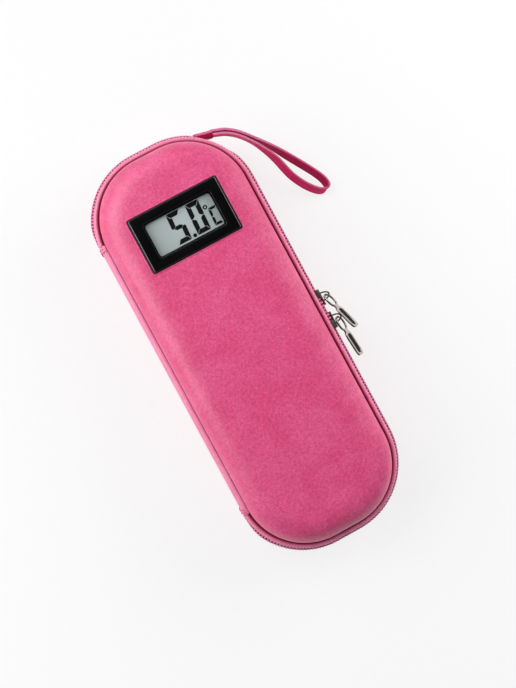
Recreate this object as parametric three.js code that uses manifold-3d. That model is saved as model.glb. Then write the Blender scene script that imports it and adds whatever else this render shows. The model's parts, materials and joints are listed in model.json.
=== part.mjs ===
// Insulin cooling case: two moulded shells that zip together round a gel pack and pen loops,
// with a panel thermometer let into the front. Millimetres, +Z up. The case lies on its back:
// the origin is the centre of the flat back face, +Y points to the thermometer's end,
// +X to the side where the zip's sliders meet.
import * as THREE from "three";
import { mergeVertices } from "three/addons/utils/BufferGeometryUtils.js";
import Module from "manifold-3d";

const wasm = await Module();
wasm.setup();

// General fits
const CLEAR = 0.3; // gap between neighbouring pieces
const EMBED = 0.2; // how far joined shapes reach into each other
const CORNER_STEPS = 8; // facets of each rounded corner that shows
const INNER_STEPS = 6; // facets of each rounded corner inside

// Moulded shells, measured at the pressed groove line
const GROOVE_WIDTH = 79;
const GROOVE_LENGTH = 214;
const GROOVE_RADIUS = 33;
const BASE_DEPTH = 25; // back face to zip line
const LID_DEPTH = 23; // zip line to front face
const SHELL_WALL = 3;
const SHOULDER = 15; // reach of the rounded shoulder in from the groove
const FULLNESS = 2.3; // exponent of the shoulder's curve, 2 is an ellipse
const SHOULDER_STEPS = 6;
const EDGE_HEIGHT = 4.1; // shell edge from the zip line

// Piped rims and fabric spine
const RIM_WIDTH = 3;
const RIM_HEIGHT = 3.8;
const RIM_SIDES = 8;
const SPINE_LENGTH = 154;
const SPINE_THICKNESS = 1.3;
const HEM_LENGTH = 3;
const HEM_RISE = 0.4;

// Zip: tape and interlocking teeth
const TAPE_THICKNESS = 0.8;
const TAPE_GAP = 0.9; // tape edge from the zip line
const TEETH_PROUD = 1.9; // teeth beyond the rims
const TEETH_DEPTH = 2.2; // across the tape's thickness
const TEETH_HALF = 2.2; // zip line to the back of a row
const TOOTH_PITCH = 2.2;
const TOOTH_REACH = 0.75; // tips past the zip line
const TOOTH_TAPER = 0.24;
const TOOTH_CROWN = 0.6; // tips stand this much prouder than the row's back
const TEETH_END = 1; // bare tape at each end of the run
const SPREAD = 1.7; // how far the rows part between the sliders
const SPREAD_FLAT = 4.5; // half length of the parted stretch
const SPREAD_END = 5.5; // where the rows are closed again

// Zip sliders and their pulls
const UPPER_SLIDER_Y = 2;
const LOWER_SLIDER_Y = -11;
const SLIDER_LENGTH = 9;
const SLIDER_MOUTH = 7.6;
const SLIDER_TAIL = 6.4;
const TOP_PLATE = 0.8;
const BOTTOM_PLATE = 0.9;
const BOTTOM_PLATE_WIDTH = 5.4;
const LIP_LENGTH = 3.6;
const LIP_WALL = 0.7;
const POST_LENGTH = 2;
const POST_WIDTH = 1;
const POST_INSET = 0.4; // post from the mouth
const BAIL_LENGTH = 5;
const BAIL_WIDTH = 0.9;
const BAIL_BAR = 0.8;
const BAIL_OPENING = 4; // height under the arch
const PULL_THICKNESS = 1;
const PULL_AXIS = 2.4; // eye bar's centre from the top plate
const PULL_ROLL = 40; // degrees that a pull lies turned to the front
const PULL_EYE_WIDTH = 6.6;
const PULL_EYE_LENGTH = 8.6;
const PULL_EYE_BAR = 1;
const PULL_EYE_WALL = 0.9;
const PULL_TAB_WIDTH = 5.6;
const PULL_LENGTH = 23; // eye bar's centre to the tab's end
const PULL_TAB_START = 9;
const PULL_NECK_WIDTH = 3.2;
const PULL_SLOT_WIDTH = 1.9;
const PULL_SLOT_MARGIN = 1.6;
const PULL_WEB = 0.4; // left between the two faces' slots
const UPPER_PULL_SWING = 19; // degrees off the zip line
const LOWER_PULL_SWING = 5;

// Wrist strap, a flat loop that slopes from its tab down to the surface below
const STRAP_WIDTH = 5;
const STRAP_THICKNESS = 1.4;
const STRAP_STEPS = 56;
const STRAP_END_Z = 2.7;
const LEAN_WAY = [0.93, 0.37]; // where the upper edge leans to
const STRAP_LEAN = 0.75; // how far it leans for each unit that it stands up
const LEAN_START = 0.1; // shares of the strap's length from its ends
const LEAN_FULL = 0.24;
const TAB_ANGLE = 57; // degrees round the corner, from +X
const TAB_HEADING = -12.5; // degrees, the way the tab points
const TAB_LENGTH = 10.4;
const TAB_THICKNESS = 3.4;
const TAB_WIDTH = 6;
const TAB_DROP = 6.2; // tab's middle below the zip line
const STRAP_ROUTE = [
  [38.2, 105.1], [44.0, 103.3], [50.2, 99.2], [57.1, 91.9], [63.0, 84.5], [67.1, 78.6],
  [71.0, 72.9], [74.2, 68.2], [77.1, 63.8], [79.2, 60.1], [80.5, 56.8], [80.7, 54.3],
  [79.5, 52.8], [77.3, 52.6], [74.7, 54.0], [71.3, 57.4], [68.1, 61.8], [65.3, 67.0],
  [63.6, 71.8], [61.8, 77.8], [59.0, 84.0], [54.8, 90.9], [49.2, 97.3], [43.4, 101.3],
  [37.7, 103.3],
];

// Panel thermometer; heights run down from the front face
const BEZEL_WIDTH = 48;
const BEZEL_HEIGHT = 28.6;
const BEZEL_CORNER = 0.8;
const BEZEL_THICKNESS = 1;
const BEZEL_EDGE = 0.3; // softened edge of the bezel
const BEZEL_Y = 65;
const HOUSING_WIDTH = 46;
const HOUSING_HEIGHT = 26.6;
const HOUSING_WALL = 1.3;
const FRONT_WALL = 1.6;
const WINDOW_WIDTH = 35.6;
const WINDOW_HEIGHT = 17.5;
const WINDOW_CORNER = 1.6;
const WINDOW_BEVEL = 0.9;
const BARB_REACH = 1.4;
const BARB_HEIGHT = 2.7;
const BARB_WIDTH = 6;
const LENS_MARGIN = 1.8; // lens past the window
const LENS_THICKNESS = 0.6;
const LCD_THICKNESS = 1.1;
const ZEBRA_HEIGHT = 1.8;
const ZEBRA_WIDTH = 2.4;
const BOARD_THICKNESS = 0.8;
const CHIP_RADIUS = 3.6;
const CHIP_HEIGHT = 1;
const THERMISTOR_RADIUS = 1.2;
const THERMISTOR_X = 16;
const CONTACT_THICKNESS = 0.3;
const CONTACT_WIDTH = 4;
const CELL_DIAMETER = 11.6;
const CELL_HEIGHT = 5.4;
const CELL_STEP = 0.4; // insulating ring under the cell's cap
const CELL_Y = -4;
const REAR_THICKNESS = 1.2;
const REAR_LIP = 1.2;
const DOOR_MARGIN = 0.8; // door past the cells on each side

// Linings, gel pack, pen board and pen loops
const LINING_THICKNESS = 2;
const LINING_CUT = 2.5; // lining's cut-out past the housing
const GEL_THICKNESS = 9;
const GEL_WELD = 1; // thickness of the welded edge
const GEL_WELD_WIDTH = 4;
const GEL_MARGIN = 1.5; // welded edge from the lining
const GEL_CROWN = 14; // from the weld to the full thickness
const PEN_BOARD = 1.6;
const PEN_DIAMETER = 17;
const PEN_SLACK = 0.4;
const LOOP_THICKNESS = 1;
const LOOP_FOOT = 2; // sewn strip between two loops
const LOOP_WIDTH = 25;
const UPPER_LOOPS_Y = 25;
const LOWER_LOOPS_Y = -55;
const LOOP_STEPS = 10;

// Values that follow from the sizes above
const GROOVE_HEIGHT = EDGE_HEIGHT + RIM_HEIGHT;
const RIM_OUT = CLEAR + RIM_WIDTH;
const TEETH_OUT = RIM_OUT + TEETH_PROUD;
const TEETH_IN = TEETH_OUT - TEETH_DEPTH;
const TAPE_OUT = TEETH_IN - CLEAR;
const TAPE_IN = TAPE_OUT - TAPE_THICKNESS;
const TAPE_TOP = EDGE_HEIGHT - CLEAR;
const TAPE_LEG = SHELL_WALL + CLEAR;
const LINING_OUT = TAPE_LEG + TAPE_THICKNESS + CLEAR;
const LINING_IN = LINING_OUT + LINING_THICKNESS;
const LINING_FLOOR = SHELL_WALL + CLEAR + LINING_THICKNESS;
const TOP_PLATE_IN = TEETH_OUT + CLEAR;
const TOP_PLATE_OUT = TOP_PLATE_IN + TOP_PLATE;
const CORNER_X = GROOVE_WIDTH / 2 - GROOVE_RADIUS;
const CORNER_Y = GROOVE_LENGTH / 2 - GROOVE_RADIUS;
const SLIDERS_MIDDLE = (UPPER_SLIDER_Y + LOWER_SLIDER_Y) / 2;

// Colours and finishes
function finish(color, roughness, metalness = 0) {
  return new THREE.MeshStandardMaterial({ color, roughness, metalness });
}

const PINK_LEATHER = [0xe0588a, 0.62];
const PINK_PIPING = [0xe8689a, 0.5];
const PINK_NYLON = [0xb83a68, 0.6];
const PINK_WEBBING = [0xb8325f, 0.8];
const NICKEL = [0xd8d4d0, 0.22, 1];
const BLACK_PLASTIC = [0x141416, 0.35];
const CLEAR_PLASTIC = [0xdfe6e4, 0.08];
const LCD_GREY = [0xaab6b2, 0.3];
const RUBBER = [0x2a2a2e, 0.8];
const BOARD_GREEN = [0x2e6b3c, 0.5];
const EPOXY = [0x101010, 0.4];
const CELL_STEEL = [0xc8c8c8, 0.25, 1];
const GREY_LINING = [0x8e8f96, 0.7];
const GEL_FILM = [0x9cc8e8, 0.25];
const BLACK_BOARD = [0x26262a, 0.75];
const BLACK_ELASTIC = [0x1b1b1e, 0.85];

function piece(name, geometry, look) {
  const mesh = new THREE.Mesh(geometry, finish(...look));
  mesh.name = name;
  return mesh;
}

// Closed solids from points and triangles, with their faces turned outwards
function closedSolid(points, faces) {
  const at = (i) => new THREE.Vector3(...points[i]);
  let volume = 0;
  for (let i = 0; i < faces.length; i += 3) {
    volume += at(faces[i]).dot(at(faces[i + 1]).cross(at(faces[i + 2])));
  }
  const index = volume < 0 ? faces.toReversed() : faces;
  const geometry = new THREE.BufferGeometry();
  geometry.setAttribute("position", new THREE.Float32BufferAttribute(points.flat(), 3));
  geometry.setIndex(index);
  geometry.computeVertexNormals();
  return geometry;
}

// A skin over rings that have equally many points, with both ends capped
function loft(rings, capFaces) {
  const count = rings[0].length;
  const faces = [];
  for (let ring = 0; ring + 1 < rings.length; ring++) {
    for (let i = 0; i < count; i++) {
      const a = ring * count + i;
      const b = ring * count + ((i + 1) % count);
      faces.push(a, b, b + count, a, b + count, a + count);
    }
  }
  const last = (rings.length - 1) * count;
  for (const [a, b, c] of capFaces) {
    faces.push(b, a, c, last + a, last + b, last + c);
  }
  return closedSolid(rings.flat(), faces);
}

// Triangles that fan over a convex ring
function fan(count) {
  return Array.from({ length: count - 2 }, (_, i) => [0, i + 1, i + 2]);
}

// Boolean joins and cuts
function toManifold(geometry) {
  const bare = geometry.clone();
  bare.deleteAttribute("normal");
  bare.deleteAttribute("uv");
  const merged = mergeVertices(bare, 1e-5);
  const vertProperties = new Float32Array(merged.attributes.position.array);
  const triVerts = new Uint32Array(merged.index.array);
  return new wasm.Manifold(new wasm.Mesh({ numProp: 3, vertProperties, triVerts }));
}

function fromManifold(manifold) {
  const mesh = manifold.getMesh();
  const geometry = new THREE.BufferGeometry();
  geometry.setAttribute("position", new THREE.Float32BufferAttribute(mesh.vertProperties, 3));
  geometry.setIndex(Array.from(mesh.triVerts));
  geometry.computeVertexNormals();
  return geometry;
}

function join(first, ...others) {
  const whole = others.reduce((sum, g) => sum.add(toManifold(g)), toManifold(first));
  return fromManifold(whole);
}

function cut(geometry, ...tools) {
  const rest = tools.reduce((left, g) => left.subtract(toManifold(g)), toManifold(geometry));
  return fromManifold(rest);
}

// Flat shapes and prisms
function roundedRectangle(width, height, radius) {
  const x = width / 2;
  const y = height / 2;
  const shape = new THREE.Shape();
  shape.moveTo(x, -y + radius);
  shape.lineTo(x, y - radius);
  shape.absarc(x - radius, y - radius, radius, 0, Math.PI / 2);
  shape.lineTo(-x + radius, y);
  shape.absarc(-x + radius, y - radius, radius, Math.PI / 2, Math.PI);
  shape.lineTo(-x, -y + radius);
  shape.absarc(-x + radius, -y + radius, radius, Math.PI, Math.PI * 1.5);
  shape.lineTo(x - radius, -y);
  shape.absarc(x - radius, -y + radius, radius, Math.PI * 1.5, Math.PI * 2);
  return shape;
}

function polygon(points) {
  return new THREE.Shape(points.map(([x, y]) => new THREE.Vector2(x, y)));
}

function prism(shape, from, to, curveSegments = 2) {
  const depth = to - from;
  const geometry = new THREE.ExtrudeGeometry(shape, { depth, bevelEnabled: false, curveSegments });
  return geometry.translate(0, 0, from);
}

function box(width, height, from, to) {
  return new THREE.BoxGeometry(width, height, to - from).translate(0, 0, (from + to) / 2);
}

// Turns a prism so that its shape's axes and its depth point along the given directions
const ALONG_X = new THREE.Vector3(1, 0, 0);
const ALONG_Y = new THREE.Vector3(0, 1, 0);
const ALONG_Z = new THREE.Vector3(0, 0, 1);

function turned(geometry, across, up, depth) {
  return geometry.applyMatrix4(new THREE.Matrix4().makeBasis(across, up, depth));
}

// The case's outline, grown or shrunk from the groove line
function outline(grow, steps) {
  const radius = GROOVE_RADIUS + grow;
  const points = [];
  for (let quarter = 0; quarter < 4; quarter++) {
    const centreX = quarter === 0 || quarter === 3 ? CORNER_X : -CORNER_X;
    const centreY = quarter < 2 ? CORNER_Y : -CORNER_Y;
    for (let i = 0; i <= steps; i++) {
      const angle = ((quarter + i / steps) * Math.PI) / 2;
      points.push([centreX + radius * Math.cos(angle), centreY + radius * Math.sin(angle)]);
    }
  }
  return points;
}

function ring(grow, z, steps) {
  return outline(grow, steps).map(([x, y]) => [x, y, z]);
}

// Rounded shoulder from the flat face to the upright wall, as [grow, height] pairs
function shoulder(wall, top, steps) {
  const points = [];
  for (let i = 0; i <= steps; i++) {
    const angle = (i / steps) * (Math.PI / 2);
    const across = Math.sin(angle) ** (2 / FULLNESS);
    const up = Math.cos(angle) ** (2 / FULLNESS);
    const grow = -SHOULDER + (SHOULDER - wall) * across;
    points.push([grow, GROOVE_HEIGHT + (top - GROOVE_HEIGHT) * up]);
  }
  return points;
}

// A moulded half: outer face, edge and inner face in one skin; side is 1 for the lid, -1 for the base
function mouldedHalf(side, depth, outerWall, thickness, steps, shoulderSteps) {
  const outer = shoulder(outerWall, depth, shoulderSteps);
  const inner = shoulder(outerWall + thickness, depth - thickness, shoulderSteps).reverse();
  const edge = [[-outerWall, EDGE_HEIGHT], [-outerWall - thickness, EDGE_HEIGHT]];
  const profile = [...outer, ...edge, ...inner];
  const rings = profile.map(([grow, height]) => ring(grow, side * height, steps));
  return loft(rings, fan(rings[0].length));
}

// The zip's run, clockwise from the spine's upper end to its lower end, as straights and turns; where
// the spine is longer than the straight side, the run starts and ends part of the way round a turn
const RUN_GROW = TEETH_OUT - TEETH_DEPTH / 2;
const RUN_RADIUS = GROOVE_RADIUS + RUN_GROW;
const QUARTER_TURN = (RUN_RADIUS * Math.PI) / 2;
const SIDE_X = GROOVE_WIDTH / 2;
const END_Y = GROOVE_LENGTH / 2;
const SPINE_END = SPINE_LENGTH / 2;
const BESIDE_SPINE = Math.max(CORNER_Y - SPINE_END, 0);
const SPINE_TURN = Math.asin(Math.max(SPINE_END - CORNER_Y, 0) / GROOVE_RADIUS);
const END_TURN = QUARTER_TURN - RUN_RADIUS * SPINE_TURN;
const RUN = [
  { length: BESIDE_SPINE, start: [-SIDE_X, SPINE_END], heading: [0, 1] },
  { length: END_TURN, centre: [-CORNER_X, CORNER_Y], from: Math.PI - SPINE_TURN },
  { length: 2 * CORNER_X, start: [-CORNER_X, END_Y], heading: [1, 0] },
  { length: QUARTER_TURN, centre: [CORNER_X, CORNER_Y], from: Math.PI / 2 },
  { length: 2 * CORNER_Y, start: [SIDE_X, CORNER_Y], heading: [0, -1] },
  { length: QUARTER_TURN, centre: [CORNER_X, -CORNER_Y], from: 0 },
  { length: 2 * CORNER_X, start: [CORNER_X, -END_Y], heading: [-1, 0] },
  { length: END_TURN, centre: [-CORNER_X, -CORNER_Y], from: -Math.PI / 2 },
  { length: BESIDE_SPINE, start: [-SIDE_X, -CORNER_Y], heading: [0, 1] },
].filter((part) => part.length > 0);
const RUN_LENGTH = RUN.reduce((sum, part) => sum + part.length, 0);

// Point of the run at a length along it, grown outwards from the groove line
function runPoint(along, grow, height) {
  let left = along;
  let part = RUN[0];
  for (part of RUN) {
    if (left <= part.length) break;
    left -= part.length;
  }
  left = Math.min(left, part.length);
  if (part.centre) {
    const angle = part.from - left / RUN_RADIUS;
    const radius = GROOVE_RADIUS + grow;
    const [x, y] = part.centre;
    return [x + radius * Math.cos(angle), y + radius * Math.sin(angle), height];
  }
  const [x, y] = part.start;
  const [headX, headY] = part.heading;
  return [x + headX * left - headY * grow, y + headY * left + headX * grow, height];
}

// Lengths along the run where a sweep needs a section
function runStations(steps) {
  const stations = [0];
  let along = 0;
  for (const part of RUN) {
    const count = part.centre ? steps : 1;
    for (let i = 1; i <= count; i++) {
      stations.push(along + (part.length * i) / count);
    }
    along += part.length;
  }
  return stations;
}

function sweepRun(profile, steps) {
  const contour = profile.map(([grow, height]) => new THREE.Vector2(grow, height));
  const caps = THREE.ShapeUtils.triangulateShape(contour, []);
  caps.forEach((face) => face.sort((a, b) => a - b));
  const rings = runStations(steps).map((along) =>
    profile.map(([grow, height]) => runPoint(along, grow, height)),
  );
  return loft(rings, caps);
}

// Piped rim: a rounded bead outside the shell's edge
function rim(side) {
  const profile = [];
  for (let i = 0; i < RIM_SIDES; i++) {
    const angle = ((i + 0.5) / RIM_SIDES) * 2 * Math.PI;
    const reach = 1 / Math.cos(Math.PI / RIM_SIDES);
    const grow = CLEAR + (RIM_WIDTH / 2) * (1 + reach * Math.cos(angle));
    const height = EDGE_HEIGHT + (RIM_HEIGHT / 2) * (1 + reach * Math.sin(angle));
    profile.push([grow, side * height]);
  }
  return sweepRun(profile, CORNER_STEPS);
}

// Zip tape: from the teeth, under the shell's edge and up its inner face
function zipTape(side) {
  const bottom = TAPE_TOP - TAPE_THICKNESS;
  const profile = [
    [TAPE_OUT, TAPE_GAP], [TAPE_OUT, TAPE_TOP], [-TAPE_LEG, TAPE_TOP],
    [-TAPE_LEG, GROOVE_HEIGHT], [-TAPE_LEG - TAPE_THICKNESS, GROOVE_HEIGHT],
    [-TAPE_LEG - TAPE_THICKNESS, bottom], [TAPE_IN, bottom], [TAPE_IN, TAPE_GAP],
  ];
  return sweepRun(profile.map(([grow, height]) => [grow, side * height]), INNER_STEPS);
}

// How far the two rows of teeth stand apart, smoothly, at a length along the run
function spreadAt(along) {
  const [x, y] = runPoint(along, 0, 0);
  if (x < SIDE_X - EMBED) return 0;
  const distance = Math.abs(y - SLIDERS_MIDDLE);
  return SPREAD * (1 - THREE.MathUtils.smoothstep(distance, SPREAD_FLAT, SPREAD_END));
}

// One row of zip teeth: tapered teeth that fit between those of the other row
function zipTeeth(side) {
  const run = RUN_LENGTH - 2 * TEETH_END;
  const count = Math.floor(run / TOOTH_PITCH) - 1;
  const pitch = run / (count + 1);
  const start = TEETH_END + (side > 0 ? 0 : pitch / 2);
  const middle = pitch / 2 - CLEAR;
  const tip = middle - TOOTH_TAPER / 2;
  const root = middle + TOOTH_TAPER / 2;
  const gapHeight = TOOTH_REACH + CLEAR;
  const backOut = TEETH_OUT - TOOTH_CROWN;
  const points = [];
  const faces = [];
  const add = (along, out, height) => {
    const z = side * (height + spreadAt(along));
    points.push(runPoint(along, out, z), runPoint(along, TEETH_IN, z));
    return points.length - 2;
  };
  const wall = (a, b) => faces.push(a, b, b + 1, a, b + 1, a + 1);
  const face = (a, b, c) => faces.push(a, b, c, b + 1, a + 1, c + 1);
  let back = add(start, backOut, TEETH_HALF);
  let edge = add(start, backOut, gapHeight);
  wall(edge, back);
  for (let i = 0; i < count; i++) {
    const centre = start + (i + 0.5) * pitch;
    const rootStart = add(centre - root / 2, backOut, gapHeight);
    const tipStart = add(centre - tip / 2, TEETH_OUT, -TOOTH_REACH);
    const tipEnd = add(centre + tip / 2, TEETH_OUT, -TOOTH_REACH);
    const rootEnd = add(centre + root / 2, backOut, gapHeight);
    const nextBack = add(centre + pitch / 2, backOut, TEETH_HALF);
    face(back, edge, rootStart);
    face(back, rootStart, rootEnd);
    face(back, rootEnd, nextBack);
    face(rootStart, tipStart, tipEnd);
    face(rootStart, tipEnd, rootEnd);
    wall(rootStart, edge);
    wall(tipStart, rootStart);
    wall(tipEnd, tipStart);
    wall(rootEnd, tipEnd);
    wall(back, nextBack);
    back = nextBack;
    edge = rootEnd;
  }
  const last = add(start + count * pitch, backOut, gapHeight);
  face(back, edge, last);
  wall(last, edge);
  wall(back, last);
  return closedSolid(points, faces);
}

// Fabric spine: a bowed strip over both shells' edges, with a thicker hem at each end
function spineSection(rise) {
  const out = RIM_OUT + rise;
  const in_ = RIM_OUT - SPINE_THICKNESS;
  const top = GROOVE_HEIGHT + rise;
  const under = GROOVE_HEIGHT - SPINE_THICKNESS;
  const shape = new THREE.Shape();
  shape.moveTo(CLEAR, top);
  shape.quadraticCurveTo(out, top, out, EDGE_HEIGHT);
  shape.lineTo(out, -EDGE_HEIGHT);
  shape.quadraticCurveTo(out, -top, CLEAR, -top);
  shape.lineTo(CLEAR, -under);
  shape.quadraticCurveTo(in_, -under, in_, -EDGE_HEIGHT);
  shape.lineTo(in_, EDGE_HEIGHT);
  shape.quadraticCurveTo(in_, under, CLEAR, under);
  return shape;
}

function spine() {
  const end = SPINE_END - CLEAR;
  const strip = prism(spineSection(0), -end, end, 5);
  const upperHem = prism(spineSection(HEM_RISE), end - HEM_LENGTH, end, 5);
  const lowerHem = prism(spineSection(HEM_RISE), -end, HEM_LENGTH - end, 5);
  const whole = join(strip, upperHem, lowerHem);
  return turned(whole, ALONG_X.clone().negate(), ALONG_Z, ALONG_Y).translate(-SIDE_X, 0, 0);
}

// Zip slider, its mouth towards -Y: two plates, a post between the rows, lips and a bail
function slider() {
  const half = SLIDER_LENGTH / 2;
  const across = (shape, from, to) => turned(prism(shape, from, to), ALONG_Y, ALONG_Z, ALONG_X);
  const topShape = polygon([
    [-half, -SLIDER_MOUTH / 2], [0, -SLIDER_MOUTH / 2], [half, -SLIDER_TAIL / 2],
    [half, SLIDER_TAIL / 2], [0, SLIDER_MOUTH / 2], [-half, SLIDER_MOUTH / 2],
  ]);
  const top = across(topShape, TOP_PLATE_IN, TOP_PLATE_OUT);
  const bottomOut = TAPE_IN - CLEAR;
  const bottomShape = roundedRectangle(SLIDER_LENGTH, BOTTOM_PLATE_WIDTH, 1);
  const bottom = across(bottomShape, bottomOut - BOTTOM_PLATE, bottomOut);
  const postY = -half + POST_INSET + POST_LENGTH / 2;
  const post = across(roundedRectangle(POST_LENGTH, POST_WIDTH, POST_WIDTH / 2 - 0.1),
    bottomOut - EMBED, TOP_PLATE_IN + EMBED).translate(0, postY, 0);
  const lips = [1, -1].map((side) => {
    const inner = TEETH_HALF + CLEAR;
    const lip = new THREE.BoxGeometry(TOP_PLATE_IN + EMBED - TEETH_IN, LIP_LENGTH, LIP_WALL);
    const x = (TEETH_IN + TOP_PLATE_IN + EMBED) / 2;
    return lip.translate(x, half - LIP_LENGTH / 2, side * (inner + LIP_WALL / 2));
  });
  return join(top, bottom, post, ...lips, bail());
}

// Bail: the arch on the slider that the pull's eye hooks round
function bail() {
  const foot = TOP_PLATE_OUT - EMBED;
  const half = BAIL_LENGTH / 2;
  const quarter = Math.PI / 2;
  const height = BAIL_OPENING + BAIL_BAR;
  const shape = new THREE.Shape();
  shape.moveTo(foot, -half);
  shape.lineTo(TOP_PLATE_OUT, -half);
  shape.absellipse(TOP_PLATE_OUT, 0, height, half, -quarter, quarter, false, 0);
  shape.lineTo(foot, half);
  shape.lineTo(foot, half - BAIL_BAR);
  shape.lineTo(TOP_PLATE_OUT, half - BAIL_BAR);
  shape.absellipse(TOP_PLATE_OUT, 0, BAIL_OPENING, half - BAIL_BAR, quarter, -quarter, true, 0);
  shape.lineTo(foot, BAIL_BAR - half);
  return prism(shape, -BAIL_WIDTH / 2, BAIL_WIDTH / 2, 6);
}

// Slider pull: an eye round the bail, a short neck and a long slotted tab that points to -Y
function pull() {
  const eyeStart = PULL_EYE_BAR / 2;
  const eyeMiddle = eyeStart - PULL_EYE_LENGTH / 2;
  const eye = roundedRectangle(PULL_EYE_WIDTH, PULL_EYE_LENGTH, PULL_EYE_WIDTH / 2 - 0.4);
  const holeWidth = PULL_EYE_WIDTH - 2 * PULL_EYE_WALL;
  const holeLength = PULL_EYE_LENGTH - PULL_EYE_BAR - PULL_EYE_WALL;
  const hole = roundedRectangle(holeWidth, holeLength, holeWidth / 2 - 0.4);
  const holeMiddle = (PULL_EYE_WALL - PULL_EYE_BAR) / 2;
  const tabLength = PULL_LENGTH - PULL_TAB_START;
  const tab = roundedRectangle(PULL_TAB_WIDTH, tabLength, PULL_TAB_WIDTH / 2 - 0.6);
  const slotLength = tabLength - 2 * PULL_SLOT_MARGIN;
  const slot = roundedRectangle(PULL_SLOT_WIDTH, slotLength, PULL_SLOT_WIDTH / 2 - 0.1);
  const half = PULL_THICKNESS / 2;
  const through = PULL_THICKNESS;
  const eyePlate = cut(prism(eye, -half, half),
    prism(hole, -through, through).translate(0, holeMiddle, 0)).translate(0, eyeMiddle, 0);
  const web = PULL_WEB / 2;
  const tabPlate = cut(prism(tab, -half, half), prism(slot, web, through), prism(slot, -through, -web))
    .translate(0, -(PULL_TAB_START + PULL_LENGTH) / 2, 0);
  const neckFrom = eyeStart - PULL_EYE_LENGTH;
  const neckLength = PULL_TAB_START + neckFrom + 2 * EMBED + PULL_EYE_WALL;
  const neck = box(PULL_NECK_WIDTH, neckLength, -half, half)
    .translate(0, neckFrom + PULL_EYE_WALL / 2 + EMBED - neckLength / 2, 0);
  return turned(join(eyePlate, neck, tabPlate), ALONG_Z.clone().negate(), ALONG_Y, ALONG_X);
}

// Wrist strap: a flat ribbon on its edge along the route, sloping down to its far end
function strapCurve() {
  const [rootX, rootY] = STRAP_ROUTE[0];
  const rootZ = BASE_DEPTH - TAB_DROP;
  const far = Math.max(...STRAP_ROUTE.map(([x, y]) => Math.hypot(x - rootX, y - rootY)));
  const slope = (rootZ - STRAP_END_Z) / far;
  const points = STRAP_ROUTE.map(([x, y]) => {
    const reach = Math.hypot(x - rootX, y - rootY);
    return new THREE.Vector3(x, y, rootZ - slope * reach);
  });
  return new THREE.CatmullRomCurve3(points);
}

// The strap stands on edge where it leaves the tab and leans over along the loop
function wristStrap() {
  const curve = strapCurve();
  const edge = STRAP_THICKNESS * 0.3;
  const x = STRAP_WIDTH / 2;
  const y = STRAP_THICKNESS / 2;
  const section = [
    [x, edge - y], [x, y - edge], [x - edge, y], [edge - x, y],
    [-x, y - edge], [-x, edge - y], [edge - x, -y], [x - edge, -y],
  ];
  const [leanX, leanY] = LEAN_WAY;
  const rings = [];
  for (let i = 0; i <= STRAP_STEPS; i++) {
    const share = i / STRAP_STEPS;
    const point = curve.getPointAt(share);
    const ahead = curve.getTangentAt(share);
    const fromEnd = Math.min(share, 1 - share);
    const lean = STRAP_LEAN * THREE.MathUtils.smoothstep(fromEnd, LEAN_START, LEAN_FULL);
    const up = new THREE.Vector3(leanX * lean, leanY * lean, 1).projectOnPlane(ahead).normalize();
    const out = ahead.clone().cross(up);
    rings.push(section.map(([across, through]) =>
      point.clone().addScaledVector(up, across).addScaledVector(out, through).toArray(),
    ));
  }
  return loft(rings, fan(section.length));
}

// Strap tab: a folded piece of webbing sewn to the base's rim at the corner
function strapTab() {
  const angle = THREE.MathUtils.degToRad(TAB_ANGLE);
  const radius = GROOVE_RADIUS + RIM_OUT + CLEAR;
  const tab = prism(roundedRectangle(TAB_LENGTH, TAB_THICKNESS, 0.5), -TAB_WIDTH / 2, TAB_WIDTH / 2, 2);
  tab.translate(TAB_LENGTH / 2, TAB_THICKNESS / 2, 0);
  tab.rotateZ(THREE.MathUtils.degToRad(TAB_HEADING));
  const x = CORNER_X + radius * Math.cos(angle);
  const y = CORNER_Y + radius * Math.sin(angle);
  return tab.translate(x, y, -TAB_DROP);
}

// Thermometer levels, from the front face down
const FLANGE_TOP = CLEAR + BEZEL_THICKNESS;
const WALL_UNDER = FLANGE_TOP - FRONT_WALL;
const LENS_TOP = WALL_UNDER - CLEAR;
const LCD_TOP = LENS_TOP - LENS_THICKNESS - CLEAR;
const ZEBRA_TOP = LCD_TOP - LCD_THICKNESS - CLEAR;
const BOARD_TOP = ZEBRA_TOP - ZEBRA_HEIGHT - CLEAR;
const CONTACT_TOP = BOARD_TOP - BOARD_THICKNESS - CLEAR;
const CELL_TOP = CONTACT_TOP - CONTACT_THICKNESS - CLEAR;
const REAR_TOP = CELL_TOP - CELL_HEIGHT - CLEAR;
const REAR_UNDER = REAR_TOP - REAR_THICKNESS;
const CAVITY_WIDTH = HOUSING_WIDTH - 2 * HOUSING_WALL;
const CAVITY_HEIGHT = HOUSING_HEIGHT - 2 * HOUSING_WALL;
const LENS_WIDTH = WINDOW_WIDTH + 2 * LENS_MARGIN;
const LENS_HEIGHT = WINDOW_HEIGHT + 2 * LENS_MARGIN;
const DOOR_WIDTH = 2 * CELL_DIAMETER + CLEAR + 2 * DOOR_MARGIN;
const DOOR_TOP_Y = CELL_Y + CELL_DIAMETER / 2 + DOOR_MARGIN;
const DOOR_LENGTH = DOOR_TOP_Y + HOUSING_HEIGHT / 2;

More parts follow.
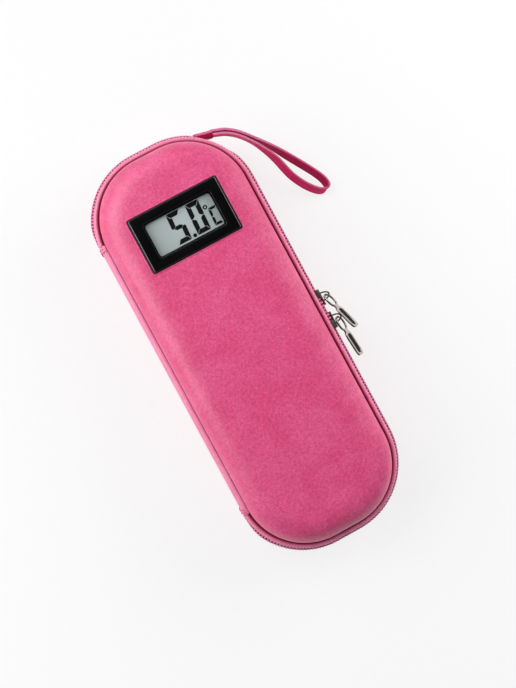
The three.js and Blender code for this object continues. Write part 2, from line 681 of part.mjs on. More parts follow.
// Thermometer case: bezel and hollow housing in one moulding, with a bevelled window and two barbs
function thermometerCase() {
  const flat = roundedRectangle(BEZEL_WIDTH - 2 * BEZEL_EDGE, BEZEL_HEIGHT - 2 * BEZEL_EDGE, BEZEL_CORNER);
  const bezel = new THREE.ExtrudeGeometry(flat, {
    depth: BEZEL_THICKNESS - BEZEL_EDGE,
    bevelEnabled: true,
    bevelThickness: BEZEL_EDGE,
    bevelSize: BEZEL_EDGE,
    bevelSegments: 1,
    curveSegments: 3,
  }).translate(0, 0, CLEAR);
  const skirt = box(BEZEL_WIDTH + CLEAR, BEZEL_HEIGHT + CLEAR, -BEZEL_EDGE, CLEAR);
  const housing = box(HOUSING_WIDTH, HOUSING_HEIGHT, REAR_TOP + CLEAR, CLEAR + EMBED);
  const cavity = box(CAVITY_WIDTH, CAVITY_HEIGHT, REAR_TOP - CLEAR, WALL_UNDER);
  const barbs = [1, -1].map((side) => {
    const top = -SHELL_WALL - CLEAR;
    const edge = HOUSING_WIDTH / 2;
    const shape = polygon([
      [side * (edge - EMBED), top], [side * (edge + BARB_REACH), top],
      [side * (edge - EMBED), top - BARB_HEIGHT],
    ]);
    const barb = prism(shape, -BARB_WIDTH / 2, BARB_WIDTH / 2);
    return turned(barb, ALONG_X, ALONG_Z, ALONG_Y.clone().negate());
  });
  const trimmed = cut(bezel, skirt);
  return cut(join(trimmed, housing, ...barbs), cavity, windowTool());
}

// Tapered tool that cuts the window, wider at the front
function windowTool() {
  const wide = 2 * WINDOW_BEVEL;
  const outer = roundedRectangle(WINDOW_WIDTH + wide, WINDOW_HEIGHT + wide, WINDOW_CORNER);
  const inner = roundedRectangle(WINDOW_WIDTH, WINDOW_HEIGHT, WINDOW_CORNER);
  const level = (shape, z) => shape.getPoints(3).slice(0, -1).map((p) => [p.x, p.y, z]);
  const rings = [
    level(outer, FLANGE_TOP + CLEAR), level(outer, FLANGE_TOP),
    level(inner, WALL_UNDER), level(inner, WALL_UNDER - CLEAR),
  ];
  return loft(rings, fan(rings[0].length));
}

// Button cell: a can with a stepped cap towards the door
function buttonCell() {
  const can = CELL_DIAMETER / 2;
  const cap = can - 2 * CELL_STEP;
  const profile = [
    [0, 0], [can, 0], [can, -CELL_HEIGHT + CELL_STEP], [cap, -CELL_HEIGHT + CELL_STEP],
    [cap, -CELL_HEIGHT], [0, -CELL_HEIGHT],
  ];
  return lathe(profile, 20);
}

function lathe(profile, segments) {
  const points = profile.map(([radius, height]) => new THREE.Vector2(radius, height));
  return new THREE.LatheGeometry(points.reverse(), segments).rotateX(Math.PI / 2);
}

function controlChip() {
  const profile = [[0, CHIP_HEIGHT]];
  for (let i = 1; i <= 3; i++) {
    const angle = (i / 3) * (Math.PI / 2);
    profile.push([CHIP_RADIUS * Math.sin(angle), CHIP_HEIGHT * Math.cos(angle)]);
  }
  profile.push([0, 0]);
  return lathe(profile, 16);
}

// Rear cover: a plate with a lip inside the housing and a slot, open to -Y, for the battery door
function rearCover() {
  const plate = box(HOUSING_WIDTH, HOUSING_HEIGHT, REAR_UNDER, REAR_TOP);
  const lipWidth = CAVITY_WIDTH - 2 * CLEAR;
  const lipHeight = CAVITY_HEIGHT - 2 * CLEAR;
  const lip = box(lipWidth, lipHeight, REAR_TOP - EMBED, REAR_TOP + REAR_LIP);
  const walls = 2 * HOUSING_WALL;
  const hollow = box(lipWidth - walls, lipHeight - walls, REAR_TOP, REAR_TOP + 2 * REAR_LIP);
  const slotLength = DOOR_LENGTH + CLEAR + EMBED;
  const slotY = DOOR_TOP_Y + CLEAR - slotLength / 2;
  const slot = box(DOOR_WIDTH + 2 * CLEAR, slotLength, REAR_UNDER - CLEAR, REAR_TOP + 2 * REAR_LIP);
  return cut(join(plate, lip), hollow, slot.translate(0, slotY, 0));
}

// Battery door: a plate with a ribbed finger grip near its free end
function batteryDoor() {
  const ribs = [0, 1, 2].map((i) => {
    const rib = box(DOOR_WIDTH / 2, 0.8, REAR_UNDER - 0.5, REAR_UNDER + EMBED);
    return rib.translate(0, -HOUSING_HEIGHT / 2 + 2.4 + 1.6 * i, 0);
  });
  const plate = box(DOOR_WIDTH, DOOR_LENGTH, REAR_UNDER, REAR_TOP);
  return join(plate.translate(0, DOOR_TOP_Y - DOOR_LENGTH / 2, 0), ...ribs);
}

// The lining's inner face: how far in from the groove line it lies at a height above the back face
function liningInset(height) {
  const below = BASE_DEPTH - GROOVE_HEIGHT - height;
  if (below <= 0) return LINING_IN;
  const share = below / (BASE_DEPTH - GROOVE_HEIGHT - LINING_FLOOR);
  return SHOULDER - (SHOULDER - LINING_IN) * (1 - share ** FULLNESS) ** (1 / FULLNESS);
}

const GEL_UNDER = LINING_FLOOR + CLEAR;
const GEL_TOP = GEL_UNDER + GEL_THICKNESS;
const PEN_BOARD_UNDER = GEL_TOP + CLEAR;
const PEN_BOARD_TOP = PEN_BOARD_UNDER + PEN_BOARD;
const PEN_BOARD_INSET = liningInset(PEN_BOARD_UNDER) + CLEAR;

// Gel pack: a crowned cushion that thins to a welded edge, flat where it lies
function gelPack() {
  const weld = GEL_UNDER + GEL_THICKNESS / 2;
  const edge = liningInset(weld - GEL_WELD / 2) + GEL_MARGIN;
  const crown = [0.12, 0.4, 0.7, 1].map((share) => {
    const rise = Math.sin((share * Math.PI) / 2) ** 0.8;
    return [edge + GEL_WELD_WIDTH + GEL_CROWN * share, rise];
  });
  const half = GEL_THICKNESS / 2 - GEL_WELD / 2;
  const side = (sign) => {
    const z = weld + (sign * GEL_WELD) / 2;
    const rise = crown.map(([inset, share]) => [inset, z + sign * half * share]);
    return [[edge, z], [edge + GEL_WELD_WIDTH, z], ...rise];
  };
  const profile = [...side(-1).reverse(), ...side(1)];
  const rings = profile.map(([inset, z]) => ring(-inset, z, INNER_STEPS));
  return loft(rings, fan(rings[0].length));
}

function penBoard() {
  return loft([
    ring(-PEN_BOARD_INSET, PEN_BOARD_UNDER, INNER_STEPS),
    ring(-PEN_BOARD_INSET, PEN_BOARD_TOP, INNER_STEPS),
  ], fan(4 * (INNER_STEPS + 1)));
}

// Pen loops: an elastic band sewn down between arches, as many as fit across the board
const LOOP_BORE = PEN_DIAMETER + 2 * PEN_SLACK;
const LOOP_STEP = LOOP_BORE + LOOP_FOOT;
const LOOP_ROOM = GROOVE_WIDTH - 2 * PEN_BOARD_INSET - LOOP_FOOT;
const LOOP_COUNT = Math.floor(LOOP_ROOM / LOOP_STEP);

function penLoops() {
  const foot = PEN_BOARD_TOP + CLEAR;
  const bore = LOOP_BORE / 2;
  const spring = foot + bore;
  const end = (LOOP_COUNT * LOOP_STEP + LOOP_FOOT) / 2;
  const centres = Array.from({ length: LOOP_COUNT }, (_, i) => (i - (LOOP_COUNT - 1) / 2) * LOOP_STEP);
  const arch = (centre, radius, low) => {
    const points = [[centre - radius, low]];
    for (let i = 0; i <= LOOP_STEPS; i++) {
      const angle = Math.PI * (1 - i / LOOP_STEPS);
      points.push([centre + radius * Math.cos(angle), spring + radius * Math.sin(angle)]);
    }
    points.push([centre + radius, low]);
    return points;
  };
  const under = [[-end, foot], ...centres.flatMap((x) => arch(x, bore, foot)), [end, foot]];
  const over = centres.flatMap((x) => arch(x, bore + LOOP_THICKNESS - EMBED, foot + LOOP_THICKNESS));
  const top = [[-end, foot + LOOP_THICKNESS], ...over, [end, foot + LOOP_THICKNESS]];
  const band = prism(polygon([...under, ...top.reverse()]), -LOOP_WIDTH / 2, LOOP_WIDTH / 2);
  return turned(band, ALONG_X, ALONG_Z, ALONG_Y.clone().negate());
}

// Assembly: base, lid and thermometer groups, then the sliders with their pulls
function placed(mesh, x, y, z) {
  mesh.position.set(x, y, z);
  return mesh;
}

function baseGroup() {
  const base = new THREE.Group();
  const zipLine = new THREE.Group();
  zipLine.position.z = BASE_DEPTH;
  const backShell = mouldedHalf(-1, BASE_DEPTH, 0, SHELL_WALL, CORNER_STEPS, SHOULDER_STEPS);
  const liningDepth = BASE_DEPTH - SHELL_WALL - CLEAR;
  const lining = mouldedHalf(-1, liningDepth, LINING_OUT, LINING_THICKNESS, INNER_STEPS, 4);
  zipLine.add(
    piece("back_shell", backShell, PINK_LEATHER),
    piece("back_rim", rim(-1), PINK_PIPING),
    piece("base_zip_tape", zipTape(-1), PINK_NYLON),
    piece("base_zip_teeth", zipTeeth(-1), PINK_NYLON),
    piece("base_lining", lining, GREY_LINING),
    piece("spine", spine(), PINK_LEATHER),
    piece("strap_tab", strapTab(), PINK_WEBBING),
  );
  base.add(
    zipLine,
    piece("gel_pack", gelPack(), GEL_FILM),
    piece("pen_board", penBoard(), BLACK_BOARD),
    placed(piece("upper_pen_loops", penLoops(), BLACK_ELASTIC), 0, UPPER_LOOPS_Y, 0),
    placed(piece("lower_pen_loops", penLoops(), BLACK_ELASTIC), 0, LOWER_LOOPS_Y, 0),
    piece("wrist_strap", wristStrap(), PINK_WEBBING),
  );
  return base;
}

function lidGroup() {
  const lid = new THREE.Group();
  lid.position.z = BASE_DEPTH;
  const shell = mouldedHalf(1, LID_DEPTH, 0, SHELL_WALL, CORNER_STEPS, SHOULDER_STEPS);
  const liningDepth = LID_DEPTH - SHELL_WALL - CLEAR;
  const lining = mouldedHalf(1, liningDepth, LINING_OUT, LINING_THICKNESS, INNER_STEPS, 4);
  const hole = (margin) => {
    const width = HOUSING_WIDTH + 2 * margin;
    const height = HOUSING_HEIGHT + 2 * margin;
    return box(width, height, GROOVE_HEIGHT, LID_DEPTH + CLEAR).translate(0, BEZEL_Y, 0);
  };
  const thermometer = thermometerGroup();
  thermometer.position.set(0, BEZEL_Y, LID_DEPTH);
  lid.add(
    piece("front_shell", cut(shell, hole(CLEAR)), PINK_LEATHER),
    piece("front_rim", rim(1), PINK_PIPING),
    piece("lid_zip_tape", zipTape(1), PINK_NYLON),
    piece("lid_zip_teeth", zipTeeth(1), PINK_NYLON),
    piece("lid_lining", cut(lining, hole(LINING_CUT)), GREY_LINING),
    thermometer,
  );
  return lid;
}

function thermometerGroup() {
  const group = new THREE.Group();
  const slab = (width, height, top, thickness) => box(width, height, top - thickness, top);
  const lcdHeight = LENS_HEIGHT + CLEAR;
  const zebraY = -lcdHeight / 2 + ZEBRA_WIDTH / 2;
  const cellX = (CELL_DIAMETER + CLEAR) / 2;
  const boardWidth = CAVITY_WIDTH - 2 * CLEAR;
  const boardHeight = CAVITY_HEIGHT - 2 * CLEAR;
  const chipZ = BOARD_TOP + CLEAR;
  const bead = new THREE.SphereGeometry(THERMISTOR_RADIUS, 12, 8);
  const beadZ = CONTACT_TOP - THERMISTOR_RADIUS;
  group.add(
    piece("thermometer_case", thermometerCase(), BLACK_PLASTIC),
    piece("display_window", slab(LENS_WIDTH, LENS_HEIGHT, LENS_TOP, LENS_THICKNESS), CLEAR_PLASTIC),
    piece("lcd_panel", slab(LENS_WIDTH, lcdHeight, LCD_TOP, LCD_THICKNESS), LCD_GREY),
    placed(piece("zebra_strip", slab(LENS_WIDTH, ZEBRA_WIDTH, ZEBRA_TOP, ZEBRA_HEIGHT), RUBBER),
      0, zebraY, 0),
    piece("circuit_board", slab(boardWidth, boardHeight, BOARD_TOP, BOARD_THICKNESS), BOARD_GREEN),
    placed(piece("control_chip", controlChip(), EPOXY), 0, 0, chipZ),
    placed(piece("thermistor", bead, EPOXY), THERMISTOR_X, 0, beadZ),
    placed(piece("cell_contact", slab(4 * cellX, CONTACT_WIDTH, CONTACT_TOP, CONTACT_THICKNESS), NICKEL),
      0, CELL_Y, 0),
    placed(piece("left_cell", buttonCell(), CELL_STEEL), -cellX, CELL_Y, CELL_TOP),
    placed(piece("right_cell", buttonCell(), CELL_STEEL), cellX, CELL_Y, CELL_TOP),
    piece("rear_cover", rearCover(), BLACK_PLASTIC),
    piece("battery_door", batteryDoor(), BLACK_PLASTIC),
  );
  return group;
}

// A slider on the zip line with its pull hooked round the bail; the lower one faces up
function sliderGroup(name, y, facing, swing) {
  const group = new THREE.Group();
  group.position.set(SIDE_X, y, BASE_DEPTH);
  const body = piece(`${name}_slider`, slider(), NICKEL);
  body.rotation.x = facing > 0 ? 0 : Math.PI;
  const tab = piece(`${name}_pull`, pull(), NICKEL);
  tab.position.x = TOP_PLATE_OUT + PULL_AXIS;
  tab.rotation.order = "YXZ";
  tab.rotation.y = -THREE.MathUtils.degToRad(PULL_ROLL);
  tab.rotation.z = THREE.MathUtils.degToRad(swing);
  group.add(body, tab);
  return group;
}

const insulinCase = new THREE.Group();
insulinCase.add(
  baseGroup(),
  lidGroup(),
  sliderGroup("upper", UPPER_SLIDER_Y, 1, UPPER_PULL_SWING),
  sliderGroup("lower", LOWER_SLIDER_Y, -1, LOWER_PULL_SWING),
);

export default insulinCase;
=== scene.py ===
"""Looks of the insulin cooling case: soft moulded shells, piping, zip, strap, thermometer and insides.

Metres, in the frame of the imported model: the case lies on its back, +Y to the thermometer's end,
+X to the side where the zip's sliders meet.
"""

import json
import math

import bmesh
import bpy
from mathutils import Matrix, Vector, noise


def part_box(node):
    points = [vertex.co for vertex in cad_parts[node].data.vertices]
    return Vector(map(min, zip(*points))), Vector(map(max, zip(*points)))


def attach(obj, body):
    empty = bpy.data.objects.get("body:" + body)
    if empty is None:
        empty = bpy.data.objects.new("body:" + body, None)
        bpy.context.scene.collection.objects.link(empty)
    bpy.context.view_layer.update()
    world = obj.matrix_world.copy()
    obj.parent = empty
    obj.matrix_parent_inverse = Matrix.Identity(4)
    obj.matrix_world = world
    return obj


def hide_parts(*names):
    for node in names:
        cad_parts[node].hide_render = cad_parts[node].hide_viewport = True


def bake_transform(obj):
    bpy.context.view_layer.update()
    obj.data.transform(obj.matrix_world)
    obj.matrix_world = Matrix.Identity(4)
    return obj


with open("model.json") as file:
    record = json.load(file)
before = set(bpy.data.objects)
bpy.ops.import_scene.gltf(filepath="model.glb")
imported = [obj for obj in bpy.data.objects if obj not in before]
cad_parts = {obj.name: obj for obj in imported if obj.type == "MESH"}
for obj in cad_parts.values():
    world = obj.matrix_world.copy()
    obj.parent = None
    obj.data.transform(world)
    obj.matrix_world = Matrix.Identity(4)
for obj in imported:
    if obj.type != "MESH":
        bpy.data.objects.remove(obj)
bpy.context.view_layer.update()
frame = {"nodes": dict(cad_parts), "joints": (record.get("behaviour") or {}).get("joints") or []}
scene = bpy.context.scene
scene.view_settings.view_transform = "Standard"

MM = 0.001
UP = Vector((0, 0, 1))
JOINTS = {joint["name"]: joint for joint in frame["joints"]}

# Sizes read from the frame
SHELL_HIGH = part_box("front_shell")[1]
RIM_LOW, RIM_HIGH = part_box("front_rim")
ZIP_Z = (RIM_LOW.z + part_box("back_rim")[1].z) / 2
BACK_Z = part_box("back_shell")[0].z
FRONT_Z = SHELL_HIGH.z
SIDE_X = SHELL_HIGH.x
END_Y = SHELL_HIGH.y
EDGE_HEIGHT = RIM_LOW.z - ZIP_Z
GROOVE_HEIGHT = RIM_HIGH.z - ZIP_Z
RIM_OUT = RIM_HIGH.x - SIDE_X
TEETH_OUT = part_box("base_zip_teeth")[1].x - SIDE_X
TAPE_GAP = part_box("lid_zip_tape")[0].z - ZIP_Z
SPINE_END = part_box("spine")[1].y
CASE_LOW, CASE_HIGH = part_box("thermometer_case")
COVER_LOW, COVER_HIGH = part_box("rear_cover")

# Sizes of the moulded case
CLEAR = 0.3 * MM
CORNER_RADIUS = 33 * MM
CORNER_X = SIDE_X - CORNER_RADIUS
CORNER_Y = END_Y - CORNER_RADIUS
SHELL_WALL = 3 * MM
SHELL_ROLL = 0.5 * MM
SHOULDER = 15 * MM
FULLNESS = 2.3
LINING_OUT = 4.4 * MM
LINING_THICKNESS = 2 * MM
LINING_ROLL = 0.4 * MM
LINING_MARGIN = 1 * MM
# How far the crease's painted shade reaches up the shell and across the piping
CREASE_SHADE_HEIGHT = 1.2 * MM
CREASE_SHADE_WIDTH = 1.5 * MM
CORNER_STEPS = 24
SIDE_STEPS = 12
SHOULDER_STEPS = 18
PIPING_SIDES = 36
PIPING_FULLNESS = 0.9

# Zip sizes
COIL_PITCH = 1.7 * MM
COIL_SIZE = (2.2 * MM, 0.9 * MM, 2.9 * MM)
COIL_MIDDLE = 0.75 * MM
TEETH_DEPTH = 2.2 * MM
CORE_INSET = 0.3 * MM
CORE_BELOW = 0.2 * MM
CORE_ABOVE = 1.3 * MM
COIL_SINK = 1.3 * MM
COIL_SINK_RUN = 14 * MM
TUCK = 0.8 * MM
TUCK_ANGLE = math.radians(41)
TUCK_FLAT = 7 * MM
TUCK_END = 15 * MM
SLIDERS_MIDDLE = -4.5 * MM
SPREAD = 1.7 * MM
SPREAD_FLAT = 4.6 * MM
SPREAD_END = 7 * MM
TAPE_THICKNESS = 0.8 * MM
LONGEST_STEP = 6 * MM
SLIDER_EDGE = 0.22 * MM

# Camera, at the photo's viewing angle; the image is 516 by 688 and the focal length is 1000 pixels
IMAGE_HEIGHT = 688
FOCAL_PIXELS = 1000
CAMERA_PLACE = Vector((-28.5, -1.8, 538.8)) * MM
CAMERA_RIGHT = Vector((0.8779, -0.4751, 0.0597))
CAMERA_FORWARD = Vector((0.0657, -0.0038, -0.9978))

# Wrist strap, on the same route as its solid
STRAP_WIDTH = 5 * MM
STRAP_THICKNESS = 1.4 * MM
STRAP_SOFT = 0.4 * MM
STRAP_EDGE_BAND = 0.39 * MM
STRAP_ROOT_Z = ZIP_Z - 6.2 * MM
STRAP_END_Z = 2.7 * MM
STRAP_STEPS = 6
LEAN_WAY = Vector((0.93, 0.37, 0))
STRAP_LEAN = 0.75
LEAN_START = 0.1
LEAN_FULL = 0.24
STRAP_TUCK = 2 * MM
STRAP_INSIDE_SHADE = 0.55
STRAP_EDGE_SHADE = 0.5
STRAP_ROUTE = [
    (38.2, 105.1), (44.0, 103.3), (50.2, 99.2), (57.1, 91.9), (63.0, 84.5), (67.1, 78.6),
    (71.0, 72.9), (74.2, 68.2), (77.1, 63.8), (79.2, 60.1), (80.5, 56.8), (80.7, 54.3),
    (79.5, 52.8), (77.3, 52.6), (74.7, 54.0), (71.3, 57.4), (68.1, 61.8), (65.3, 67.0),
    (63.6, 71.8), (61.8, 77.8), (59.0, 84.0), (54.8, 90.9), (49.2, 97.3), (43.4, 101.3),
    (37.7, 103.3),
]


def add_object(name, data):
    """A new object in the scene that holds the data."""
    made = bpy.data.objects.new(name, data)
    scene.collection.objects.link(made)
    return made


# Camera
def make_camera():
    data = bpy.data.cameras.new("camera")
    data.sensor_width = 36
    data.lens = FOCAL_PIXELS * data.sensor_width / IMAGE_HEIGHT
    data.clip_start = 0.01
    forward = CAMERA_FORWARD.normalized()
    right = (CAMERA_RIGHT - forward * CAMERA_RIGHT.dot(forward)).normalized()
    turn = Matrix((right, right.cross(forward), -forward)).transposed().to_4x4()
    scene.camera = add_object("camera", data)
    scene.camera.matrix_world = Matrix.Translation(CAMERA_PLACE) @ turn


make_camera()


# Material helpers
def linear(hex_colour):
    """sRGB hex, such as "e0588a", as a linear colour with alpha."""
    channels = [int(hex_colour[i:i + 2], 16) / 255 for i in (0, 2, 4)]
    return tuple(c / 12.92 if c <= 0.04045 else ((c + 0.055) / 1.055) ** 2.4 for c in channels) + (1,)


def per_metre(millimetres):
    """Texture scale for a feature of that size."""
    return 1 / (millimetres * MM)


def set_inputs(tree, node, inputs):
    """Links an input to a socket, or to a node's first one, and sets it to any other value."""
    for key, value in inputs.items():
        if isinstance(value, bpy.types.Node):
            value = value.outputs[0]
        if isinstance(value, bpy.types.NodeSocket):
            tree.links.new(value, node.inputs[key])
        else:
            node.inputs[key].default_value = value


def add_node(tree, kind, inputs=None, **settings):
    """Adds a node with its settings and links."""
    node = tree.nodes.new(kind)
    for key, value in settings.items():
        setattr(node, key, value)
    set_inputs(tree, node, inputs or {})
    return node


def new_material(name):
    """A material, its node tree, its shader and the places on the object that its textures read."""
    material = bpy.data.materials.new(name)
    material.use_nodes = True
    tree = material.node_tree
    place = add_node(tree, "ShaderNodeTexCoord").outputs["Object"]
    return material, tree, tree.nodes["Principled BSDF"], place


# The colour mixer's own sockets: its factor, its two colours and what comes out
FACTOR, FIRST, SECOND, MIXED = 0, 6, 7, 2

# How deep a point lies in a pressed crease or in shade, from 0 to 1, and its colour there: painted shade,
# with the pressed groove's own deeper colour
CREASE_AND_SHADE = "crease_and_shade"
CREASE_SHADE_COLOUR = "9c0838"

# A wave texture has bands this far apart at a scale of 1
BAND_STEP = 0.314


# Brushed polyurethane leather, heat-moulded over foam: a short nap, soft mottling where it was
# brushed, fine pores, a little velvet sheen at grazing angles, and a darker colour in creases: painted
# shade, with the pressed groove's own deeper colour
def brushed_leather(name, deep, mid, light, grain_mm, bump, roughness, gloss):
    material, tree, shader, place = new_material(name)
    clouds = add_node(tree, "ShaderNodeTexNoise", {
        "Vector": place, "Scale": per_metre(16), "Detail": 5, "Roughness": 0.62, "Distortion": 0.6})
    nap = add_node(tree, "ShaderNodeTexNoise", {
        "Vector": place, "Scale": per_metre(1.6), "Detail": 4, "Roughness": 0.7})
    pores = add_node(tree, "ShaderNodeTexNoise", {
        "Vector": place, "Scale": per_metre(grain_mm), "Detail": 3, "Roughness": 0.6})
    crease_and_shade = add_node(tree, "ShaderNodeAttribute", attribute_name=CREASE_AND_SHADE).outputs["Fac"]
    cloudy = add_node(tree, "ShaderNodeMapRange", {"Value": clouds, "From Min": 0.3, "From Max": 0.7})
    brushed = add_node(tree, "ShaderNodeMapRange", {
        "Value": nap, "From Min": 0.60, "From Max": 0.32, "To Max": 0.42})
    grained = add_node(tree, "ShaderNodeMapRange", {
        "Value": pores, "From Min": 0.56, "From Max": 0.32, "To Max": 0.46})
    colour = linear(mid)
    for share, shade in ((cloudy, light), (brushed, deep), (grained, deep), (crease_and_shade, CREASE_SHADE_COLOUR)):
        colour = add_node(tree, "ShaderNodeMix", {
            FACTOR: share, FIRST: colour, SECOND: linear(shade)}, data_type="RGBA").outputs[MIXED]
    heights = add_node(tree, "ShaderNodeMath", {0: pores, 1: nap}, operation="ADD")
    relief = add_node(tree, "ShaderNodeBump", {"Height": heights, "Strength": bump, "Distance": 0.12 * MM})
    rough = add_node(tree, "ShaderNodeMapRange", {
        "Value": nap, "To Min": roughness - 0.1, "To Max": roughness + 0.1})
    dull = add_node(tree, "ShaderNodeMath", {0: rough, 1: crease_and_shade}, operation="MAXIMUM")
    set_inputs(tree, shader, {
        "Base Color": colour, "Roughness": dull, "Normal": relief, "Specular IOR Level": gloss,
        "Sheen Weight": 0.15, "Sheen Roughness": 0.45, "Sheen Tint": linear("ffb4d2")})
    return material


# Woven polyester tape or nylon cloth: two crossing sets of threads that read as a fine plain weave
def woven_cloth(name, deep, light, thread_mm, roughness):
    material, tree, shader, place = new_material(name)
    across, along = [add_node(tree, "ShaderNodeTexWave", {
        "Vector": place, "Scale": per_metre(thread_mm) * BAND_STEP, "Distortion": 0.4, "Detail": 1,
        "Detail Scale": 2}, bands_direction=direction).outputs["Fac"] for direction in ("X", "Y")]
    weave = add_node(tree, "ShaderNodeMath", {0: across, 1: along}, operation="MULTIPLY")
    fuzz = add_node(tree, "ShaderNodeTexNoise", {
        "Vector": place, "Scale": per_metre(2.5), "Detail": 4, "Roughness": 0.65})
    fuzzy = add_node(tree, "ShaderNodeMath", {0: weave, 1: fuzz}, operation="ADD")
    share = add_node(tree, "ShaderNodeMapRange", {"Value": fuzzy, "From Min": 0.2, "From Max": 1.3})
    colour = add_node(tree, "ShaderNodeMix", {
        FACTOR: share, FIRST: linear(deep), SECOND: linear(light)}, data_type="RGBA")
    relief = add_node(tree, "ShaderNodeBump", {"Height": weave, "Strength": 0.5, "Distance": 0.15 * MM})
    set_inputs(tree, shader, {
        "Base Color": colour.outputs[MIXED], "Roughness": roughness, "Normal": relief,
        "Sheen Weight": 0.2, "Sheen Roughness": 0.5})
    return material


# Moulded plastic: an even colour with a fine spark-eroded texture and slight gloss changes
def moulded_plastic(name, even, worn, roughness, grit_mm=0.4, bump=0.12, **values):
    material, tree, shader, place = new_material(name)
    grit = add_node(tree, "ShaderNodeTexNoise", {
        "Vector": place, "Scale": per_metre(grit_mm), "Detail": 3, "Roughness": 0.55})
    haze = add_node(tree, "ShaderNodeTexNoise", {
        "Vector": place, "Scale": per_metre(9), "Detail": 4, "Roughness": 0.6})
    share = add_node(tree, "ShaderNodeMapRange", {"Value": haze, "From Min": 0.35, "From Max": 0.75})
    rough = add_node(tree, "ShaderNodeMapRange", {
        "Value": haze, "To Min": roughness - 0.08, "To Max": roughness + 0.1})
    relief = add_node(tree, "ShaderNodeBump", {"Height": grit, "Strength": bump, "Distance": 0.05 * MM})
    colour = add_node(tree, "ShaderNodeMix", {
        FACTOR: share, FIRST: linear(even), SECOND: linear(worn)}, data_type="RGBA")
    set_inputs(tree, shader, {
        "Base Color": colour.outputs[MIXED], "Roughness": rough, "Normal": relief, **values})
    return material


# Nickel-plated zinc casting, barrel-polished: bright, with faint waviness and hairline scuffs
def plated_metal(name, bright, dull, roughness):
    material, tree, shader, place = new_material(name)
    stretch = add_node(tree, "ShaderNodeMapping", {"Vector": place, "Scale": (1, 0.2, 1)})
    scuffs = add_node(tree, "ShaderNodeTexNoise", {
        "Vector": stretch, "Scale": per_metre(0.5), "Detail": 5, "Roughness": 0.7})
    waviness = add_node(tree, "ShaderNodeTexNoise", {"Vector": place, "Scale": per_metre(3), "Detail": 2})
    share = add_node(tree, "ShaderNodeMapRange", {"Value": scuffs, "From Min": 0.5, "From Max": 0.8})
    rough = add_node(tree, "ShaderNodeMapRange", {
        "Value": scuffs, "To Min": roughness * 0.6, "To Max": roughness * 1.6})
    relief = add_node(tree, "ShaderNodeBump", {"Height": waviness, "Strength": 0.1, "Distance": 0.1 * MM})
    colour = add_node(tree, "ShaderNodeMix", {
        FACTOR: share, FIRST: linear(bright), SECOND: linear(dull)}, data_type="RGBA")
    set_inputs(tree, shader, {
        "Base Color": colour.outputs[MIXED], "Metallic": 1, "Roughness": rough, "Normal": relief})
    return material


# Liquid crystal panel: grey-green reflective film behind glass, with painted shade making it darker towards
# its edges
def lcd_film(name):
    material, tree, shader, place = new_material(name)
    low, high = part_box("lcd_panel")
    middle = (low + high) / 2
    centred = add_node(tree, "ShaderNodeMapping", {
        "Vector": place, "Location": (-middle.x / high.x, -middle.y / high.x, 0),
        "Scale": (1 / high.x, 1 / high.x, 0)})
    # Lighter in the middle and darker towards the edges: painted shade
    glow = add_node(tree, "ShaderNodeTexGradient", {"Vector": centred}, gradient_type="QUADRATIC_SPHERE")
    speckle = add_node(tree, "ShaderNodeTexNoise", {"Vector": place, "Scale": per_metre(0.6), "Detail": 3})
    share = add_node(tree, "ShaderNodeMath", {
        0: speckle, 1: 0.25, 2: glow.outputs["Fac"]}, operation="MULTIPLY_ADD")
    colour = add_node(tree, "ShaderNodeMix", {
        FACTOR: share, FIRST: linear("b5c2c1"), SECOND: linear("c5d0d0")}, data_type="RGBA")
    set_inputs(tree, shader, {
        "Base Color": colour.outputs[MIXED], "Roughness": 0.45, "Specular IOR Level": 0.25})
    return material


# Clear acrylic sheet: see-through, with a polished face
def clear_acrylic(name):
    material, tree, shader, place = new_material(name)
    haze = add_node(tree, "ShaderNodeTexNoise", {"Vector": place, "Scale": per_metre(14), "Detail": 3})
    rough = add_node(tree, "ShaderNodeMapRange", {"Value": haze, "To Min": 0.03, "To Max": 0.09})
    set_inputs(tree, shader, {
        "Base Color": linear("101414"), "Roughness": rough, "IOR": 1.49, "Alpha": 0.06})
    return material


LEATHER = brushed_leather("brushed_pu_leather", "a00f44", "ea4983", "f6639b", 0.55, 0.35, 0.45, 0.7)
PIPING = brushed_leather("smooth_pu_leather_piping", "d4608f", "f584ae", "fa9abe", 0.5, 0.18, 0.42, 0.6)
STRAP = brushed_leather("folded_pu_leather_strap", "b01c50", "e2307a", "ec4488", 0.45, 0.3, 0.6, 0.2)
# The strap's edges in a lighter colour: a painted highlight
STRAP_EDGE_HIGHLIGHT = brushed_leather("strap_edge_painted_highlight", "c0507e", "e0739f", "e683ab", 0.45, 0.2, 0.55, 0.4)
TAPE = woven_cloth("woven_polyester_tape", "6e0f3a", "8c1c4c", 0.6, 0.75)
COIL_CORE = woven_cloth("filling_cord_in_coil", "8c1446", "b02060", 0.6, 0.75)
TEETH = moulded_plastic("nylon_coil", "e88cb0", "f0a4c2", 0.42)
THREAD = moulded_plastic("polyester_thread", "c84a7c", "dc6c98", 0.6, 0.2)
NICKEL = plated_metal("polished_nickel_plate", "c6c0ba", "958f89", 0.12)
# Darker copy of the nickel for the sliders: painted shade
NICKEL_SLIDER_SHADE = plated_metal("nickel_painted_slider_shade", "7c7670", "4c4744", 0.2)
# Darker copy of the nickel for the pulls' slots and upright walls: painted shade and dark reflections
NICKEL_DEEP_SHADE = plated_metal("nickel_painted_deep_shade", "2e2826", "3c3532", 0.5)
CELL_STEEL = plated_metal("drawn_cell_steel", "9c9c9c", "848484", 0.3)
BLACK_ABS = moulded_plastic(
    "black_abs", "060607", "0b0b0d", 0.3, 0.4, 0.05, **{"Specular IOR Level": 0.04})
